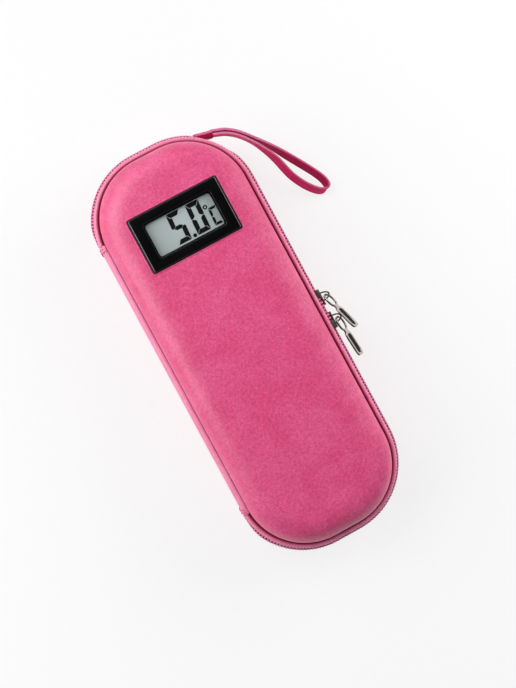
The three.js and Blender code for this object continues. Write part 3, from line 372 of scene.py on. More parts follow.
# Lighter colours on the mouldings' bevels and on the bezel's side edges: painted highlights
ABS_BEVEL_HIGHLIGHT = moulded_plastic("abs_bevel_painted_highlight", "222226", "303036", 0.3, 0.4, 0.05)
ABS_EDGE_HIGHLIGHT = moulded_plastic("abs_edge_painted_highlight", "6c6c72", "8a8a90", 0.2, 0.4, 0.05)
# A dark ring round the bezel: painted contact shadow
CONTACT_SHADOW = moulded_plastic("painted_contact_shadow", "1c0410", "260818", 0.7)
ACRYLIC = clear_acrylic("clear_acrylic")
LCD_FILM = lcd_film("lcd_reflective_film")
LCD_INK = moulded_plastic("lcd_segment_dark", "06080a", "0a0d10", 0.6, **{"Specular IOR Level": 0.1})
ZEBRA_RUBBER = moulded_plastic("silicone_rubber", "26262a", "323238", 0.8)
LAMINATE = moulded_plastic("green_circuit_laminate", "1f5a30", "2d6e3c", 0.45)
EPOXY = moulded_plastic("black_epoxy", "0c0c0c", "161616", 0.3)
LINING = woven_cloth("grey_nylon_lining", "74757d", "9b9ca4", 0.9, 0.7)
GEL_FILM = moulded_plastic("blue_gel_film", "6fa6d2", "9cc6e6", 0.22, 1.2, 0.3)
BOARD_COVER = woven_cloth("black_nylon_board_cover", "18181b", "2c2c31", 0.9, 0.75)
ELASTIC = woven_cloth("black_knitted_elastic", "101012", "26262a", 1.2, 0.85)


# Mesh helpers
def tidy_faces(mesh, sharp_degrees):
    shape = bmesh.new()
    shape.from_mesh(mesh)
    bmesh.ops.recalc_face_normals(shape, faces=shape.faces)
    shape.to_mesh(mesh)
    shape.free()
    mesh.shade_smooth()
    mesh.set_sharp_from_angle(angle=math.radians(sharp_degrees))


def new_piece(name, vertices, faces, material, sharp_degrees=40):
    """A smooth-shaded mesh with its faces turned outwards."""
    mesh = bpy.data.meshes.new(name)
    mesh.from_pydata([tuple(v) for v in vertices], [], faces)
    mesh.materials.append(material)
    tidy_faces(mesh, sharp_degrees)
    return add_object(name, mesh)


def baked(piece):
    """Replaces a piece's mesh by what its modifiers make of it."""
    graph = bpy.context.evaluated_depsgraph_get()
    mesh = bpy.data.meshes.new_from_object(
        piece.evaluated_get(graph), preserve_all_data_layers=True, depsgraph=graph)
    piece.modifiers.clear()
    piece.data = mesh
    return piece


def stands_for(piece, body, slot, *nodes):
    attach(piece, body)
    if nodes:
        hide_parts(*nodes)


def lofted(name, rings, material, closed=False, sharp_degrees=40):
    """A skin over rings of equally many points; open rings of a run get capped ends, closed ones meet."""
    count = len(rings[0])
    vertices = [point for ring in rings for point in ring]
    faces = []
    for k in range(len(rings) if closed else len(rings) - 1):
        a = k * count
        b = (k + 1) % len(rings) * count
        for i in range(count):
            j = (i + 1) % count
            faces.append((a + i, a + j, b + j, b + i))
    if not closed:
        faces.append(tuple(reversed(range(count))))
        faces.append(tuple(range(len(vertices) - count, len(vertices))))
    return new_piece(name, vertices, faces, material, sharp_degrees)


def set_crease_and_shade(piece, crease_and_shade_depths):
    """Stores how deep each point lies in a pressed crease or in painted shade."""
    layer = piece.data.attributes.new(CREASE_AND_SHADE, "FLOAT", "POINT")
    layer.data.foreach_set("value", crease_and_shade_depths)


def bevelled_copy(node, name, width, material, edge_material=None):
    """A CAD node's shape with its hard edges softened, as a moulding or casting has them."""
    mesh = frame["nodes"][node].data.copy()
    mesh.name = name
    shape = bmesh.new()
    shape.from_mesh(mesh)
    bmesh.ops.remove_doubles(shape, verts=shape.verts, dist=1e-7)
    bmesh.ops.dissolve_limit(shape, angle_limit=math.radians(1), verts=shape.verts, edges=shape.edges)
    shape.to_mesh(mesh)
    shape.free()
    mesh.materials.clear()
    mesh.materials.append(material)
    mesh.shade_smooth()
    piece = add_object(name, mesh)
    soften = piece.modifiers.new("soften", "BEVEL")
    if edge_material:
        mesh.materials.append(edge_material)
        soften.material = 1
    soften.width = width
    soften.segments = 3
    soften.limit_method = "ANGLE"
    soften.angle_limit = math.radians(35)
    soften.use_clamp_overlap = True
    baked(piece)
    piece.data.set_sharp_from_angle(angle=math.radians(32))
    return piece


# A row of small rounded pieces along a path, used for the zip's coil and for stitches
def row_tree():
    tree = bpy.data.node_groups.new("row_along_path", "GeometryNodeTree")
    sockets = (("Path", "Geometry"), ("Spacing", "Float"), ("Size", "Vector"), ("Upright", "Vector"),
               ("Finish", "Material"))
    for name, kind in sockets:
        tree.interface.new_socket(name, in_out="INPUT", socket_type=f"NodeSocket{kind}")
    tree.interface.new_socket("Row", in_out="OUTPUT", socket_type="NodeSocketGeometry")
    given = add_node(tree, "NodeGroupInput").outputs
    path = add_node(tree, "GeometryNodeMeshToCurve", {"Mesh": given["Path"]})
    spaced = add_node(tree, "GeometryNodeResampleCurve", {
        "Curve": path, "Length": given["Spacing"]}, mode="LENGTH")
    heading = add_node(tree, "GeometryNodeInputTangent")
    turn = add_node(tree, "FunctionNodeAxesToRotation", {
        "Primary Axis": heading, "Secondary Axis": given["Upright"]}, primary_axis="Y", secondary_axis="Z")
    block = add_node(tree, "GeometryNodeMeshCube", {"Size": given["Size"]})
    rounded = add_node(tree, "GeometryNodeSubdivisionSurface", {
        "Mesh": block, "Level": 2, "Edge Crease": 0.45})
    row = add_node(tree, "GeometryNodeInstanceOnPoints", {
        "Points": spaced, "Instance": rounded, "Rotation": turn})
    real = add_node(tree, "GeometryNodeRealizeInstances", {"Geometry": row})
    smooth = add_node(tree, "GeometryNodeSetShadeSmooth", {"Geometry": real})
    finished = add_node(tree, "GeometryNodeSetMaterial", {"Geometry": smooth, "Material": given["Finish"]})
    add_node(tree, "NodeGroupOutput", {"Row": finished})
    return tree


ROW_TREE = row_tree()
# A subdivided block shrinks by about this much, so sizes are given larger
ROUNDING = 1.06


def row_of(name, paths, spacing, size, material, upright=(0, 0, 1)):
    """One mesh with rounded pieces along each path, their tops turned to the upright way."""
    vertices = []
    edges = []
    for path in paths:
        first = len(vertices)
        vertices += [tuple(p) for p in path]
        edges += [(i, i + 1) for i in range(first, len(vertices) - 1)]
    mesh = bpy.data.meshes.new(name)
    mesh.from_pydata(vertices, edges, [])
    piece = add_object(name, mesh)
    rule = piece.modifiers.new("row", "NODES")
    rule.node_group = ROW_TREE
    items = ROW_TREE.interface.items_tree
    sockets = {item.name: item.identifier for item in items if item.in_out == "INPUT"}
    rule[sockets["Spacing"]] = spacing
    rule[sockets["Size"]] = [s * ROUNDING for s in size]
    rule[sockets["Upright"]] = upright
    rule[sockets["Finish"]] = material
    return baked(piece)


def ease(share):
    """Rises softly from 0 to 1."""
    share = min(max(share, 0), 1)
    return share * share * (3 - 2 * share)


def rounded_section(width, thickness, soft, steps=4):
    """Points round a rectangle with rounded corners, in the plane of width and thickness."""
    points = []
    signs = ((1, 1), (-1, 1), (-1, -1), (1, -1))
    for quarter, (sx, sy) in enumerate(signs):
        for i in range(steps + 1):
            angle = (quarter + i / steps) * math.pi / 2
            points.append((sx * (width / 2 - soft) + soft * math.cos(angle),
                           sy * (thickness / 2 - soft) + soft * math.sin(angle)))
    return points


# The case's outline, grown or shrunk from the groove line
def level_ring(grow, z):
    radius = CORNER_RADIUS + grow
    centres = ((CORNER_X, CORNER_Y), (-CORNER_X, CORNER_Y), (-CORNER_X, -CORNER_Y), (CORNER_X, -CORNER_Y))
    corners = []
    for quarter, (x, y) in enumerate(centres):
        angles = [(quarter + i / CORNER_STEPS) * math.pi / 2 for i in range(CORNER_STEPS + 1)]
        corners.append([(x + radius * math.cos(a), y + radius * math.sin(a), z) for a in angles])
    points = []
    for corner, following in zip(corners, corners[1:] + corners[:1]):
        points += corner
        (x0, y0, _), (x1, y1, _) = corner[-1], following[0]
        for i in range(1, SIDE_STEPS):
            share = i / SIDE_STEPS
            points.append((x0 + (x1 - x0) * share, y0 + (y1 - y0) * share, z))
    return points


def shoulder(wall, top):
    """Offsets inwards and upwards over a moulded shoulder, from the flat face to the groove."""
    points = []
    for i in range(SHOULDER_STEPS + 1):
        angle = i / SHOULDER_STEPS * math.pi / 2
        across = math.sin(angle) ** (2 / FULLNESS)
        up = max(math.cos(angle), 0) ** (2 / FULLNESS)
        points.append((-SHOULDER + (SHOULDER - wall) * across, GROOVE_HEIGHT + (top - GROOVE_HEIGHT) * up))
    return points


def moulded_half(name, side, depth, wall, thickness, material, roll):
    """Outer face, rolled edge and inner face of a moulded half; side is 1 for the lid, -1 for the base."""
    outer = shoulder(wall, depth)
    inner = shoulder(wall + thickness, depth - thickness)[::-1]
    edge = [
        (-wall, EDGE_HEIGHT + roll), (-wall - roll, EDGE_HEIGHT),
        (-wall - thickness + roll, EDGE_HEIGHT), (-wall - thickness, EDGE_HEIGHT + roll),
    ]
    rings = [level_ring(grow, ZIP_Z + side * height) for grow, height in outer + edge + inner]
    half = lofted(name, rings, material)
    # Darker towards the groove: painted shade, with the pressed groove's own deeper colour
    crease_and_shade_depths = [max(0, 1 - (height - GROOVE_HEIGHT) / CREASE_SHADE_HEIGHT) for _, height in outer]
    crease_and_shade_depths += [1] * len(edge) + [0] * len(inner)
    set_crease_and_shade(half, [share for share in crease_and_shade_depths for _ in rings[0]])
    return half


def cut_box(piece, low, high):
    """Cuts a box out of a piece."""
    corners = [(x, y, z) for x in (low[0], high[0]) for y in (low[1], high[1]) for z in (low[2], high[2])]
    faces = [(0, 1, 3, 2), (4, 6, 7, 5), (0, 4, 5, 1), (2, 3, 7, 6), (0, 2, 6, 4), (1, 5, 7, 3)]
    tool = new_piece("cutter", corners, faces, piece.data.materials[0])
    rule = piece.modifiers.new("cut", "BOOLEAN")
    rule.object = tool
    rule.operation = "DIFFERENCE"
    rule.solver = "EXACT"
    baked(piece)
    bpy.data.objects.remove(tool)
    piece.data.shade_smooth()
    piece.data.set_sharp_from_angle(angle=math.radians(40))


# Wrist strap: a folded leather ribbon on its edge
def strap_path():
    root = Vector(STRAP_ROUTE[0])
    far = max((Vector(p) - root).length for p in STRAP_ROUTE)
    points = []
    for x, y in STRAP_ROUTE:
        share = (Vector((x, y)) - root).length / far
        points.append(Vector((x * MM, y * MM, STRAP_ROOT_Z + (STRAP_END_Z - STRAP_ROOT_Z) * share)))
    return points


def smooth_path(points, steps):
    """Points on a smooth curve through the given ones."""
    padded = [points[0] * 2 - points[1], *points, points[-1] * 2 - points[-2]]
    path = []
    for p0, p1, p2, p3 in zip(padded, padded[1:], padded[2:], padded[3:]):
        for i in range(steps):
            t = i / steps
            path.append(((p1 * 2) + (p2 - p0) * t + (p0 * 2 - p1 * 5 + p2 * 4 - p3) * t ** 2
                         + (p1 * 3 - p0 - p2 * 3 + p3) * t ** 3) / 2)
    return [*path, points[-1]]


def make_strap():
    path = smooth_path(strap_path(), STRAP_STEPS)
    section = rounded_section(STRAP_WIDTH, STRAP_THICKNESS, STRAP_SOFT)
    last = len(path) - 1
    rings = []
    leans = []
    for i, point in enumerate(path):
        share = i / last
        leans.append(ease((min(share, 1 - share) - LEAN_START) / (LEAN_FULL - LEAN_START)))
        leaning = UP + LEAN_WAY * (STRAP_LEAN * leans[-1])
        ahead = (path[min(i + 1, last)] - path[max(i - 1, 0)]).normalized()
        up = (leaning - ahead * leaning.dot(ahead)).normalized()
        out = ahead.cross(up)
        rings.append([point + up * b + out * t for b, t in section])
    # The ends are tucked into the tab
    for end, inner in ((0, 1), (-1, -2)):
        back = (path[end] - path[inner]).normalized() * STRAP_TUCK
        tucked = [point + back for point in rings[end]]
        rings.insert(0 if end == 0 else len(rings), tucked)
    strap = lofted("strap_loop", rings, STRAP)
    # The two edges are lighter: a painted highlight where the light catches them
    at_edge = [abs(across) > STRAP_WIDTH / 2 - STRAP_EDGE_BAND for across, _ in section]
    strap.data.materials.append(STRAP_EDGE_HIGHLIGHT)
    for face in strap.data.polygons:
        if len(face.vertices) == 4 and all(at_edge[v % len(section)] for v in face.vertices):
            face.material_index = 1
    # Painted shade: darker on the inside of the loop, and on the lighter edges where the strap leans
    shades = []
    for lean in (0, *leans, 0):
        for edge, (_, out) in zip(at_edge, section):
            inside = STRAP_INSIDE_SHADE if out > 0 else 0
            shades.append(STRAP_EDGE_SHADE * lean if edge else inside)
    set_crease_and_shade(strap, shades)
    stands_for(strap, "base", "strap_webbing", "wrist_strap")


make_strap()


# Strap tab: two layers of the folded strap, stitched across; the outer one has the edges' lighter colour, a
# painted highlight, and the inner one painted shade
TAB_ANGLE = math.radians(57)
TAB_HEADING = math.radians(-12.5)
TAB_LENGTH = 10.4 * MM
TAB_THICKNESS = 3.4 * MM
TAB_INNER_SHARE = 0.58
TAB_WIDTH = 6 * MM
TAB_SOFT = 0.45 * MM
TAB_SEAM = 1.3 * MM
TAB_STITCH = (0.4 * MM, 0.9 * MM, 0.25 * MM)
TAB_STITCH_STEP = 1.1 * MM
# Shares of the tab's length, and how far its section is drawn in there
TAB_TAPER = ((0, 0.8), (0.05, 1), (0.95, 1), (1, 0.86))


def make_strap_tab():
    start = Vector((CORNER_X, CORNER_Y, STRAP_ROOT_Z)) + Vector((
        math.cos(TAB_ANGLE), math.sin(TAB_ANGLE), 0)) * (CORNER_RADIUS + RIM_OUT + CLEAR)
    ahead = Vector((math.cos(TAB_HEADING), math.sin(TAB_HEADING), 0))
    out = Vector((-ahead.y, ahead.x, 0))

    def layer(name, low, high, material):
        section = rounded_section(TAB_WIDTH, TAB_THICKNESS * (high - low), TAB_SOFT)
        middle = out * (TAB_THICKNESS * (high + low) / 2)
        rings = []
        for along, narrow in TAB_TAPER:
            place = start + ahead * TAB_LENGTH * along + middle
            rings.append([place + (UP * b + out * t) * narrow for b, t in section])
        return lofted(name, rings, material)

    inner = layer("fold_inner_layer", 0, TAB_INNER_SHARE, STRAP)
    # The inner layer is painted in shade all over
    set_crease_and_shade(inner, [1] * len(inner.data.vertices))
    stands_for(inner, "base", "strap_webbing", "strap_tab")
    outer = layer("fold_outer_layer", TAB_INNER_SHARE, 1, STRAP_EDGE_HIGHLIGHT)
    stands_for(outer, "base", "strap_webbing")
    seam = start + ahead * TAB_SEAM + UP * TAB_WIDTH / 2
    path = [seam + out * TAB_THICKNESS * share for share in (0.2, 0.85)]
    stitches = row_of("tab_stitches", [path], TAB_STITCH_STEP, TAB_STITCH, THREAD)
    stands_for(stitches, "base", "strap_webbing")


make_strap_tab()


# Moulded shells
def make_shells():
    front = moulded_half("front_cover", 1, FRONT_Z - ZIP_Z, 0, SHELL_WALL, LEATHER, SHELL_ROLL)
    bezel_y = (CASE_LOW.y + CASE_HIGH.y) / 2
    half_x = COVER_HIGH.x + CLEAR
    half_y = (COVER_HIGH.y - COVER_LOW.y) / 2 + CLEAR
    cut_box(front, (-half_x, bezel_y - half_y, ZIP_Z + GROOVE_HEIGHT),
            (half_x, bezel_y + half_y, FRONT_Z + MM))
    stands_for(front, "lid", "pink_leather", "front_shell")
    back = moulded_half("back_cover", -1, ZIP_Z - BACK_Z, 0, SHELL_WALL, LEATHER, SHELL_ROLL)
    stands_for(back, "base", "pink_leather", "back_shell")


make_shells()


# The zip's run: points on the groove line with the way outwards, clockwise from the spine's upper end,
# which may lie part of the way round the corner
def zip_stations():
    start_y = SPINE_END + CLEAR / 10
    spine_turn = math.asin(max(start_y - CORNER_Y, 0) / CORNER_RADIUS) / (math.pi / 2)
    turns = ((-CORNER_X, CORNER_Y, 2 - spine_turn, 1), (CORNER_X, CORNER_Y, 1, 0),
             (CORNER_X, -CORNER_Y, 0, -1), (-CORNER_X, -CORNER_Y, -1, spine_turn - 2))
    stations = []
    for x, y, first, last in turns:
        for i in range(CORNER_STEPS + 1):
            angle = (first + (last - first) * i / CORNER_STEPS) * math.pi / 2
            out = Vector((math.cos(angle), math.sin(angle)))
            stations.append((Vector((x, y)) + out * CORNER_RADIUS, out))
    if start_y < CORNER_Y:
        stations.insert(0, (Vector((-SIDE_X, start_y)), Vector((-1, 0))))
        stations.append((Vector((-SIDE_X, -start_y)), Vector((-1, 0))))
    fine = [stations[0]]
    for (p, n), (q, m) in zip(stations, stations[1:]):
        count = max(1, math.ceil((q - p).length / LONGEST_STEP))
        fine += [(p.lerp(q, i / count), n.lerp(m, i / count).normalized()) for i in range(1, count + 1)]
    return fine


STATIONS = zip_stations()


def swept(name, profile, material):
    """A profile of outward and upward offsets carried along the zip's run."""
    rings = [[(point.x + out.x * grow, point.y + out.y * grow, ZIP_Z + height) for grow, height in profile]
             for point, out in STATIONS]
    return lofted(name, rings, material)


def make_rims():
    inner = CLEAR / 10
    middle_grow = (inner + RIM_OUT) / 2
    middle_height = (EDGE_HEIGHT + GROOVE_HEIGHT) / 2
    half_width = (RIM_OUT - inner) / 2
    half_height = (GROOVE_HEIGHT - EDGE_HEIGHT) / 2
    for side, body, end in ((1, "lid", "front"), (-1, "base", "back")):
        profile = []
        crease_and_shade_depths = []
        for i in range(PIPING_SIDES):
            angle = i / PIPING_SIDES * 2 * math.pi
            grow = middle_grow + half_width * math.cos(angle)
            up = math.copysign(abs(math.sin(angle)) ** PIPING_FULLNESS, math.sin(angle))
            profile.append((grow, side * (middle_height + half_height * up)))
            # The piping's side towards the groove is darker: painted shade
            crease_and_shade_depths.append(ease(1.5 - grow / CREASE_SHADE_WIDTH))
        piping = swept(f"{end}_piping", profile, PIPING)
        set_crease_and_shade(piping, crease_and_shade_depths * len(STATIONS))
        stands_for(piping, body, "pink_piping", f"{end}_rim")


make_rims()


def make_tapes():
    leg = SHELL_WALL + CLEAR
    top = EDGE_HEIGHT - CLEAR
    bottom = top - TAPE_THICKNESS
    out = TEETH_OUT - TEETH_DEPTH - CLEAR
    profile = [
        (out, TAPE_GAP), (out, top), (-leg, top), (-leg, GROOVE_HEIGHT),
        (-leg - TAPE_THICKNESS, GROOVE_HEIGHT), (-leg - TAPE_THICKNESS, bottom),
        (out - TAPE_THICKNESS, bottom), (out - TAPE_THICKNESS, TAPE_GAP),
    ]
    for side, body in ((1, "lid"), (-1, "base")):
        tape = swept(f"{body}_tape", [(grow, side * height) for grow, height in profile], TAPE)
        stands_for(tape, body, "zip_tape", f"{body}_zip_tape")


make_tapes()


# Zip teeth: two rows of coil turns, half a pitch apart, round a dark core; they part between the sliders
def spread_at(point):
    """How far each row stands off the zip line."""
    if point.x < SIDE_X:
        return 0
    distance = abs(point.y - SLIDERS_MIDDLE)
    return SPREAD * (1 - ease((distance - SPREAD_FLAT) / (SPREAD_END - SPREAD_FLAT)))


def tuck_at(point):
    """How far the rows are pulled in under the piping, where the strap's tab is sewn to the tape."""
    middle = Vector((CORNER_X, CORNER_Y)) + Vector((
        math.cos(TUCK_ANGLE), math.sin(TUCK_ANGLE))) * (CORNER_RADIUS + TEETH_OUT)
    return TUCK * (1 - ease(((point - middle).length - TUCK_FLAT) / (TUCK_END - TUCK_FLAT)))


def coil_path(side, skip):
    """Points along a row's middle, with the way outwards, after a skipped length; its ends sink in."""
    grow = TEETH_OUT - TEETH_DEPTH / 2
    level = []
    for (p, n), (q, m) in zip(STATIONS, STATIONS[1:]):
        count = max(1, math.ceil((q - p).length / MM))
        for i in range(count):
            out = n.lerp(m, i / count).normalized()
            point = p.lerp(q, i / count) + out * grow
            point -= out * tuck_at(point)
            height = ZIP_Z + side * (COIL_MIDDLE + spread_at(point))
            level.append((Vector((point.x, point.y, height)), out.to_3d()))
    run = sum((q - p).length for (p, _), (q, _) in zip(level, level[1:]))
    gone = 0
    path = []
    for (p, out), (q, _) in zip(level, level[1:] + level[-1:]):
        path.append((p - out * COIL_SINK * (1 - ease(min(gone, run - gone) / COIL_SINK_RUN)), out))
        gone += (q - p).length
    while skip > (path[1][0] - path[0][0]).length:
        skip -= (path[1][0] - path[0][0]).length
        path.pop(0)
    (start, out), (following, _) = path[:2]
    path[0] = (start + (following - start).normalized() * skip, out)
    return path


def make_teeth():
    half = TEETH_DEPTH / 2 - CORE_INSET
    for side, body, skip in ((1, "lid", 1.0), (-1, "base", 1.5)):
        path = coil_path(side, skip * COIL_PITCH)
        coil = row_of(f"{body}_coil", [[point for point, _ in path]], COIL_PITCH, COIL_SIZE, TEETH)
        stands_for(coil, body, "zip_nylon", f"{body}_zip_teeth")
        rings = []
        for point, out in path:
            low = point.z - side * CORE_BELOW
            high = point.z + side * CORE_ABOVE
            rings.append([point.xy.to_3d() + out * grow + Vector((0, 0, z))
                          for grow, z in ((-2 * half, low), (half, low), (half, high), (-2 * half, high))])
        core = lofted(f"{body}_coil_core", rings, COIL_CORE)
        stands_for(core, body, "zip_tape")


make_teeth()


# Sliders, in a darker nickel: painted shade
def make_sliders():
    for side in ("upper", "lower"):
        slider = bevelled_copy(f"{side}_slider", f"{side}_slider_casting", SLIDER_EDGE, NICKEL_SLIDER_SHADE)
        stands_for(slider, f"{side}_slider_body", "nickel", f"{side}_slider")


make_sliders()

# Pulls: places along the pull from its axis, and half widths
PULL_LENGTH = 23 * MM
PULL_THICKNESS = 1 * MM
PULL_EYE = (-0.5 * MM, 8.1 * MM, 3.3 * MM)
PULL_HOLE = (0.5 * MM, 7.2 * MM, 2.4 * MM)
PULL_NECK = (6.9 * MM, 10.4 * MM, 1.6 * MM)
PULL_TAB = (9 * MM, PULL_LENGTH, 2.8 * MM)
PULL_SLOT = (10.2 * MM, 21.7 * MM, 1.5 * MM)
PULL_EDGE = 0.25 * MM
PULL_WEB = 0.4 * MM
# How square each stretch of the outline is; 2 is an oval
EYE_POWER = 2.4
TAB_POWER = 5
NECK_POWER = 20
PULL_STRETCHES = ((PULL_EYE, EYE_POWER), (PULL_TAB, TAB_POWER), (PULL_NECK, NECK_POWER))
# How far each pull hangs from flat, in degrees
PULL_SWING = {"upper": 19, "lower": 5}


def oval(stretch, power, steps=40):
    """Points round a squared-off oval from start to end along the pull, with the given half width."""
    start, end, half = stretch
    middle = (start + end) / 2
    reach = (end - start) / 2
    points = []
    for i in range(steps):
        angle = i / steps * 2 * math.pi
        across = math.copysign(abs(math.sin(angle)) ** (2 / power), math.sin(angle))
        along = math.copysign(abs(math.cos(angle)) ** (2 / power), math.cos(angle))
        points.append((half * across, middle + reach * along))
    return points


def stadium(stretch, steps=10):
    """Points round a slot with half-round ends."""
    start, end, half = stretch
    points = []
    for base, turn in ((end - half, 0), (start + half, math.pi)):
        for i in range(steps + 1):
            angle = turn + i / steps * math.pi
            points.append((half * math.cos(angle), base + half * math.sin(angle)))
    return points


def pull_half_width(along):
    widths = [0]
    for (start, end, half), power in PULL_STRETCHES:
        offset = abs(along - (start + end) / 2) / ((end - start) / 2)
        if offset < 1:
            widths.append(half * (1 - offset ** power) ** (1 / power))
    return max(widths)


def pull_outline(steps=160):
    """The pull's outside: an eye that narrows to a neck and widens to the tab."""
    right = []
    for i in range(steps + 1):
        share = (1 - math.cos(i / steps * math.pi)) / 2
        along = PULL_EYE[0] + (PULL_LENGTH - PULL_EYE[0]) * share
        right.append((pull_half_width(along), along))
    return right + [(-b, along) for b, along in reversed(right[1:-1])]


def add_web(plate):
    """Closes the slot half-way through the pull with a thin web in dark nickel: painted shade in the slot.
    """
    start, end, half = PULL_SLOT
    ring = stadium((start - PULL_EDGE, end + PULL_EDGE, half + PULL_EDGE))
    low, high = [[plate.verts.new((*point, z)) for point in ring] for z in (-PULL_WEB / 2, PULL_WEB / 2)]
    faces = [plate.faces.new(low[::-1]), plate.faces.new(high)]
    for corners in zip(low, low[1:] + low[:1], high[1:] + high[:1], high):
        faces.append(plate.faces.new(corners))
    for face in faces:
        face.material_index = 1


def pull_mesh(name):
    """The pull lying flat, its edges rounded: an open eye, and a slot in each face."""
    curve = bpy.data.curves.new(name, "CURVE")
    curve.dimensions = "2D"
    curve.fill_mode = "BOTH"
    for ring in (pull_outline(), oval(PULL_HOLE, EYE_POWER), stadium(PULL_SLOT)):
        spline = curve.splines.new("POLY")
        spline.points.add(len(ring) - 1)
        for point, (across, along) in zip(spline.points, ring):
            point.co = (across, along, 0, 1)
        spline.use_cyclic_u = True
    curve.extrude = PULL_THICKNESS / 2
    shape = add_object(name, curve)
    graph = bpy.context.evaluated_depsgraph_get()
    mesh = bpy.data.meshes.new_from_object(shape.evaluated_get(graph))
    bpy.data.objects.remove(shape)
    mesh.materials.clear()
    mesh.materials.append(NICKEL)
    mesh.materials.append(NICKEL_DEEP_SHADE)
    plate = bmesh.new()
    plate.from_mesh(mesh)
    bmesh.ops.remove_doubles(plate, verts=plate.verts, dist=1e-6)
    bmesh.ops.dissolve_limit(plate, angle_limit=math.radians(1), verts=plate.verts, edges=plate.edges)
    rims = [edge for edge in plate.edges if edge.is_manifold and edge.calc_face_angle() > math.radians(60)]
    bmesh.ops.bevel(plate, geom=rims, offset=PULL_EDGE, segments=3, profile=0.5, affect="EDGES")
    # Walls that stand upright get the dark nickel: painted shade and dark reflections
    for face in plate.faces:
        face.material_index = 1 if abs(face.normal.z) < 0.25 else 0
    add_web(plate)
    plate.to_mesh(mesh)
    plate.free()
    return mesh


def make_pulls():
    for side in ("upper", "lower"):
        mesh = pull_mesh(f"{side}_pull_tab")
        joint = JOINTS[f"{side}_pull_swing"]
        width_way = Vector(joint["axis"]).normalized()
        face_way = Vector((0, 1, 0)).cross(width_way)
        swing = math.radians(PULL_SWING[side])
        along_way = Vector((0, -math.cos(swing), 0)) + face_way * math.sin(swing)
        turn = Matrix((width_way, along_way, width_way.cross(along_way))).transposed().to_4x4()
        mesh.transform(Matrix.Translation(joint["pos_m"]) @ turn)
        tidy_faces(mesh, 32)
        pull = add_object(f"{side}_pull_tab", mesh)
        stands_for(pull, f"{side}_pull_body", "nickel", f"{side}_pull")


make_pulls()


# Spine: a bowed leather strip over both edges, hemmed and stitched at its ends
SPINE_THICKNESS = 1.3 * MM
SPINE_STEPS = 24
HEM_LENGTH = 3 * MM
HEM_RISE = 0.4 * MM
HEM_EDGE = 0.25 * MM
HEM_SEAMS = (1.3 * MM, 2.9 * MM)
HEM_STITCH = (0.4 * MM, 1.5 * MM, 0.4 * MM)
HEM_STITCH_STEP = 2.2 * MM
HEM_STITCH_LIFT = 0.05 * MM


def spine_face(rise, steps=8):
    """Offsets outwards and upwards round a face of the spine, from the lid's side to the base's."""
    out = RIM_OUT + rise
    top = GROOVE_HEIGHT + rise
    upper = []
    for i in range(steps + 1):
        t = i / steps
        grow = CLEAR * (1 - t) ** 2 + 2 * t * (1 - t) * out + out * t * t
        height = top * (1 - t) ** 2 + 2 * t * (1 - t) * top + EDGE_HEIGHT * t * t
        upper.append((grow, height))
    middle = [(out, EDGE_HEIGHT * (1 - 2 * i / 10)) for i in range(1, 10)]
    return upper + middle + [(grow, -height) for grow, height in reversed(upper)]


def spine_points(offsets, y):
    return [(-SIDE_X - grow, y, ZIP_Z + height) for grow, height in offsets]


def make_spine():
    plain = 2 * SPINE_END - 2 * HEM_LENGTH
    hem = [(0, HEM_RISE * 0.5), (HEM_EDGE, HEM_RISE), (HEM_LENGTH - HEM_EDGE, HEM_RISE), (HEM_LENGTH, 0)]
    places = [(-SPINE_END + along, rise) for along, rise in hem]
    places += [(-SPINE_END + HEM_LENGTH + plain * i / SPINE_STEPS, 0) for i in range(1, SPINE_STEPS)]
    places += [(-y, rise) for y, rise in reversed(places[:len(hem)])]
    rings = [spine_points(spine_face(rise) + spine_face(-SPINE_THICKNESS)[::-1], y) for y, rise in places]
    spine = lofted("leather_spine", rings, PIPING)
    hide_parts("spine")
    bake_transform(spine)
    seam = spine_face(HEM_RISE + HEM_STITCH_LIFT, 12)
    rows = [spine_points(seam, sign * (SPINE_END - inset)) for sign in (1, -1) for inset in HEM_SEAMS]
    stitches = row_of("spine_stitches", rows, HEM_STITCH_STEP, HEM_STITCH, THREAD, (0, 1, 0))
    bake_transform(stitches)


make_spine()


# Thermometer: softened mouldings, the panel and its reading
MOULDING_EDGE = 0.2 * MM
DOOR_EDGE = 0.15 * MM
BEZEL_HIGHLIGHT_BAND = 0.6 * MM
SHADOW_RING_OUT = 0.45 * MM
SHADOW_RING_WIDTH = 2 * MM
SHADOW_RING_CORNER = 1.2 * MM
SHADOW_RING_FOOT = 0.04 * MM
LIP_WIDTH = 0.8 * MM
LIP_RISE = 0.35 * MM
LIP_SINK = 0.1 * MM
LIP_STEPS = 10


def paint_edge_highlight(moulding):
    """Gives the sloping faces along the bezel's two short edges a lighter colour: a painted highlight."""
    moulding.data.materials.append(ABS_EDGE_HIGHLIGHT)
    for face in moulding.data.polygons:
        x, y, z = face.center
        inset = min(x - CASE_LOW.x, CASE_HIGH.x - x, y - CASE_LOW.y, CASE_HIGH.y - y)
        sloping = 0.3 < face.normal.z < 0.93 and abs(face.normal.x) > abs(face.normal.y)
        if z > FRONT_Z and inset < BEZEL_HIGHLIGHT_BAND and sloping:
            face.material_index = 2


def bezel_ring(grow, corner, z):
    """A ring round the bezel, grown by that much, with rounded corners."""
    middle = (CASE_LOW + CASE_HIGH) / 2
    size = CASE_HIGH - CASE_LOW
    section = rounded_section(size.x + 2 * grow, size.y + 2 * grow, corner)
    return [(middle.x + x, middle.y + y, z) for x, y in section]


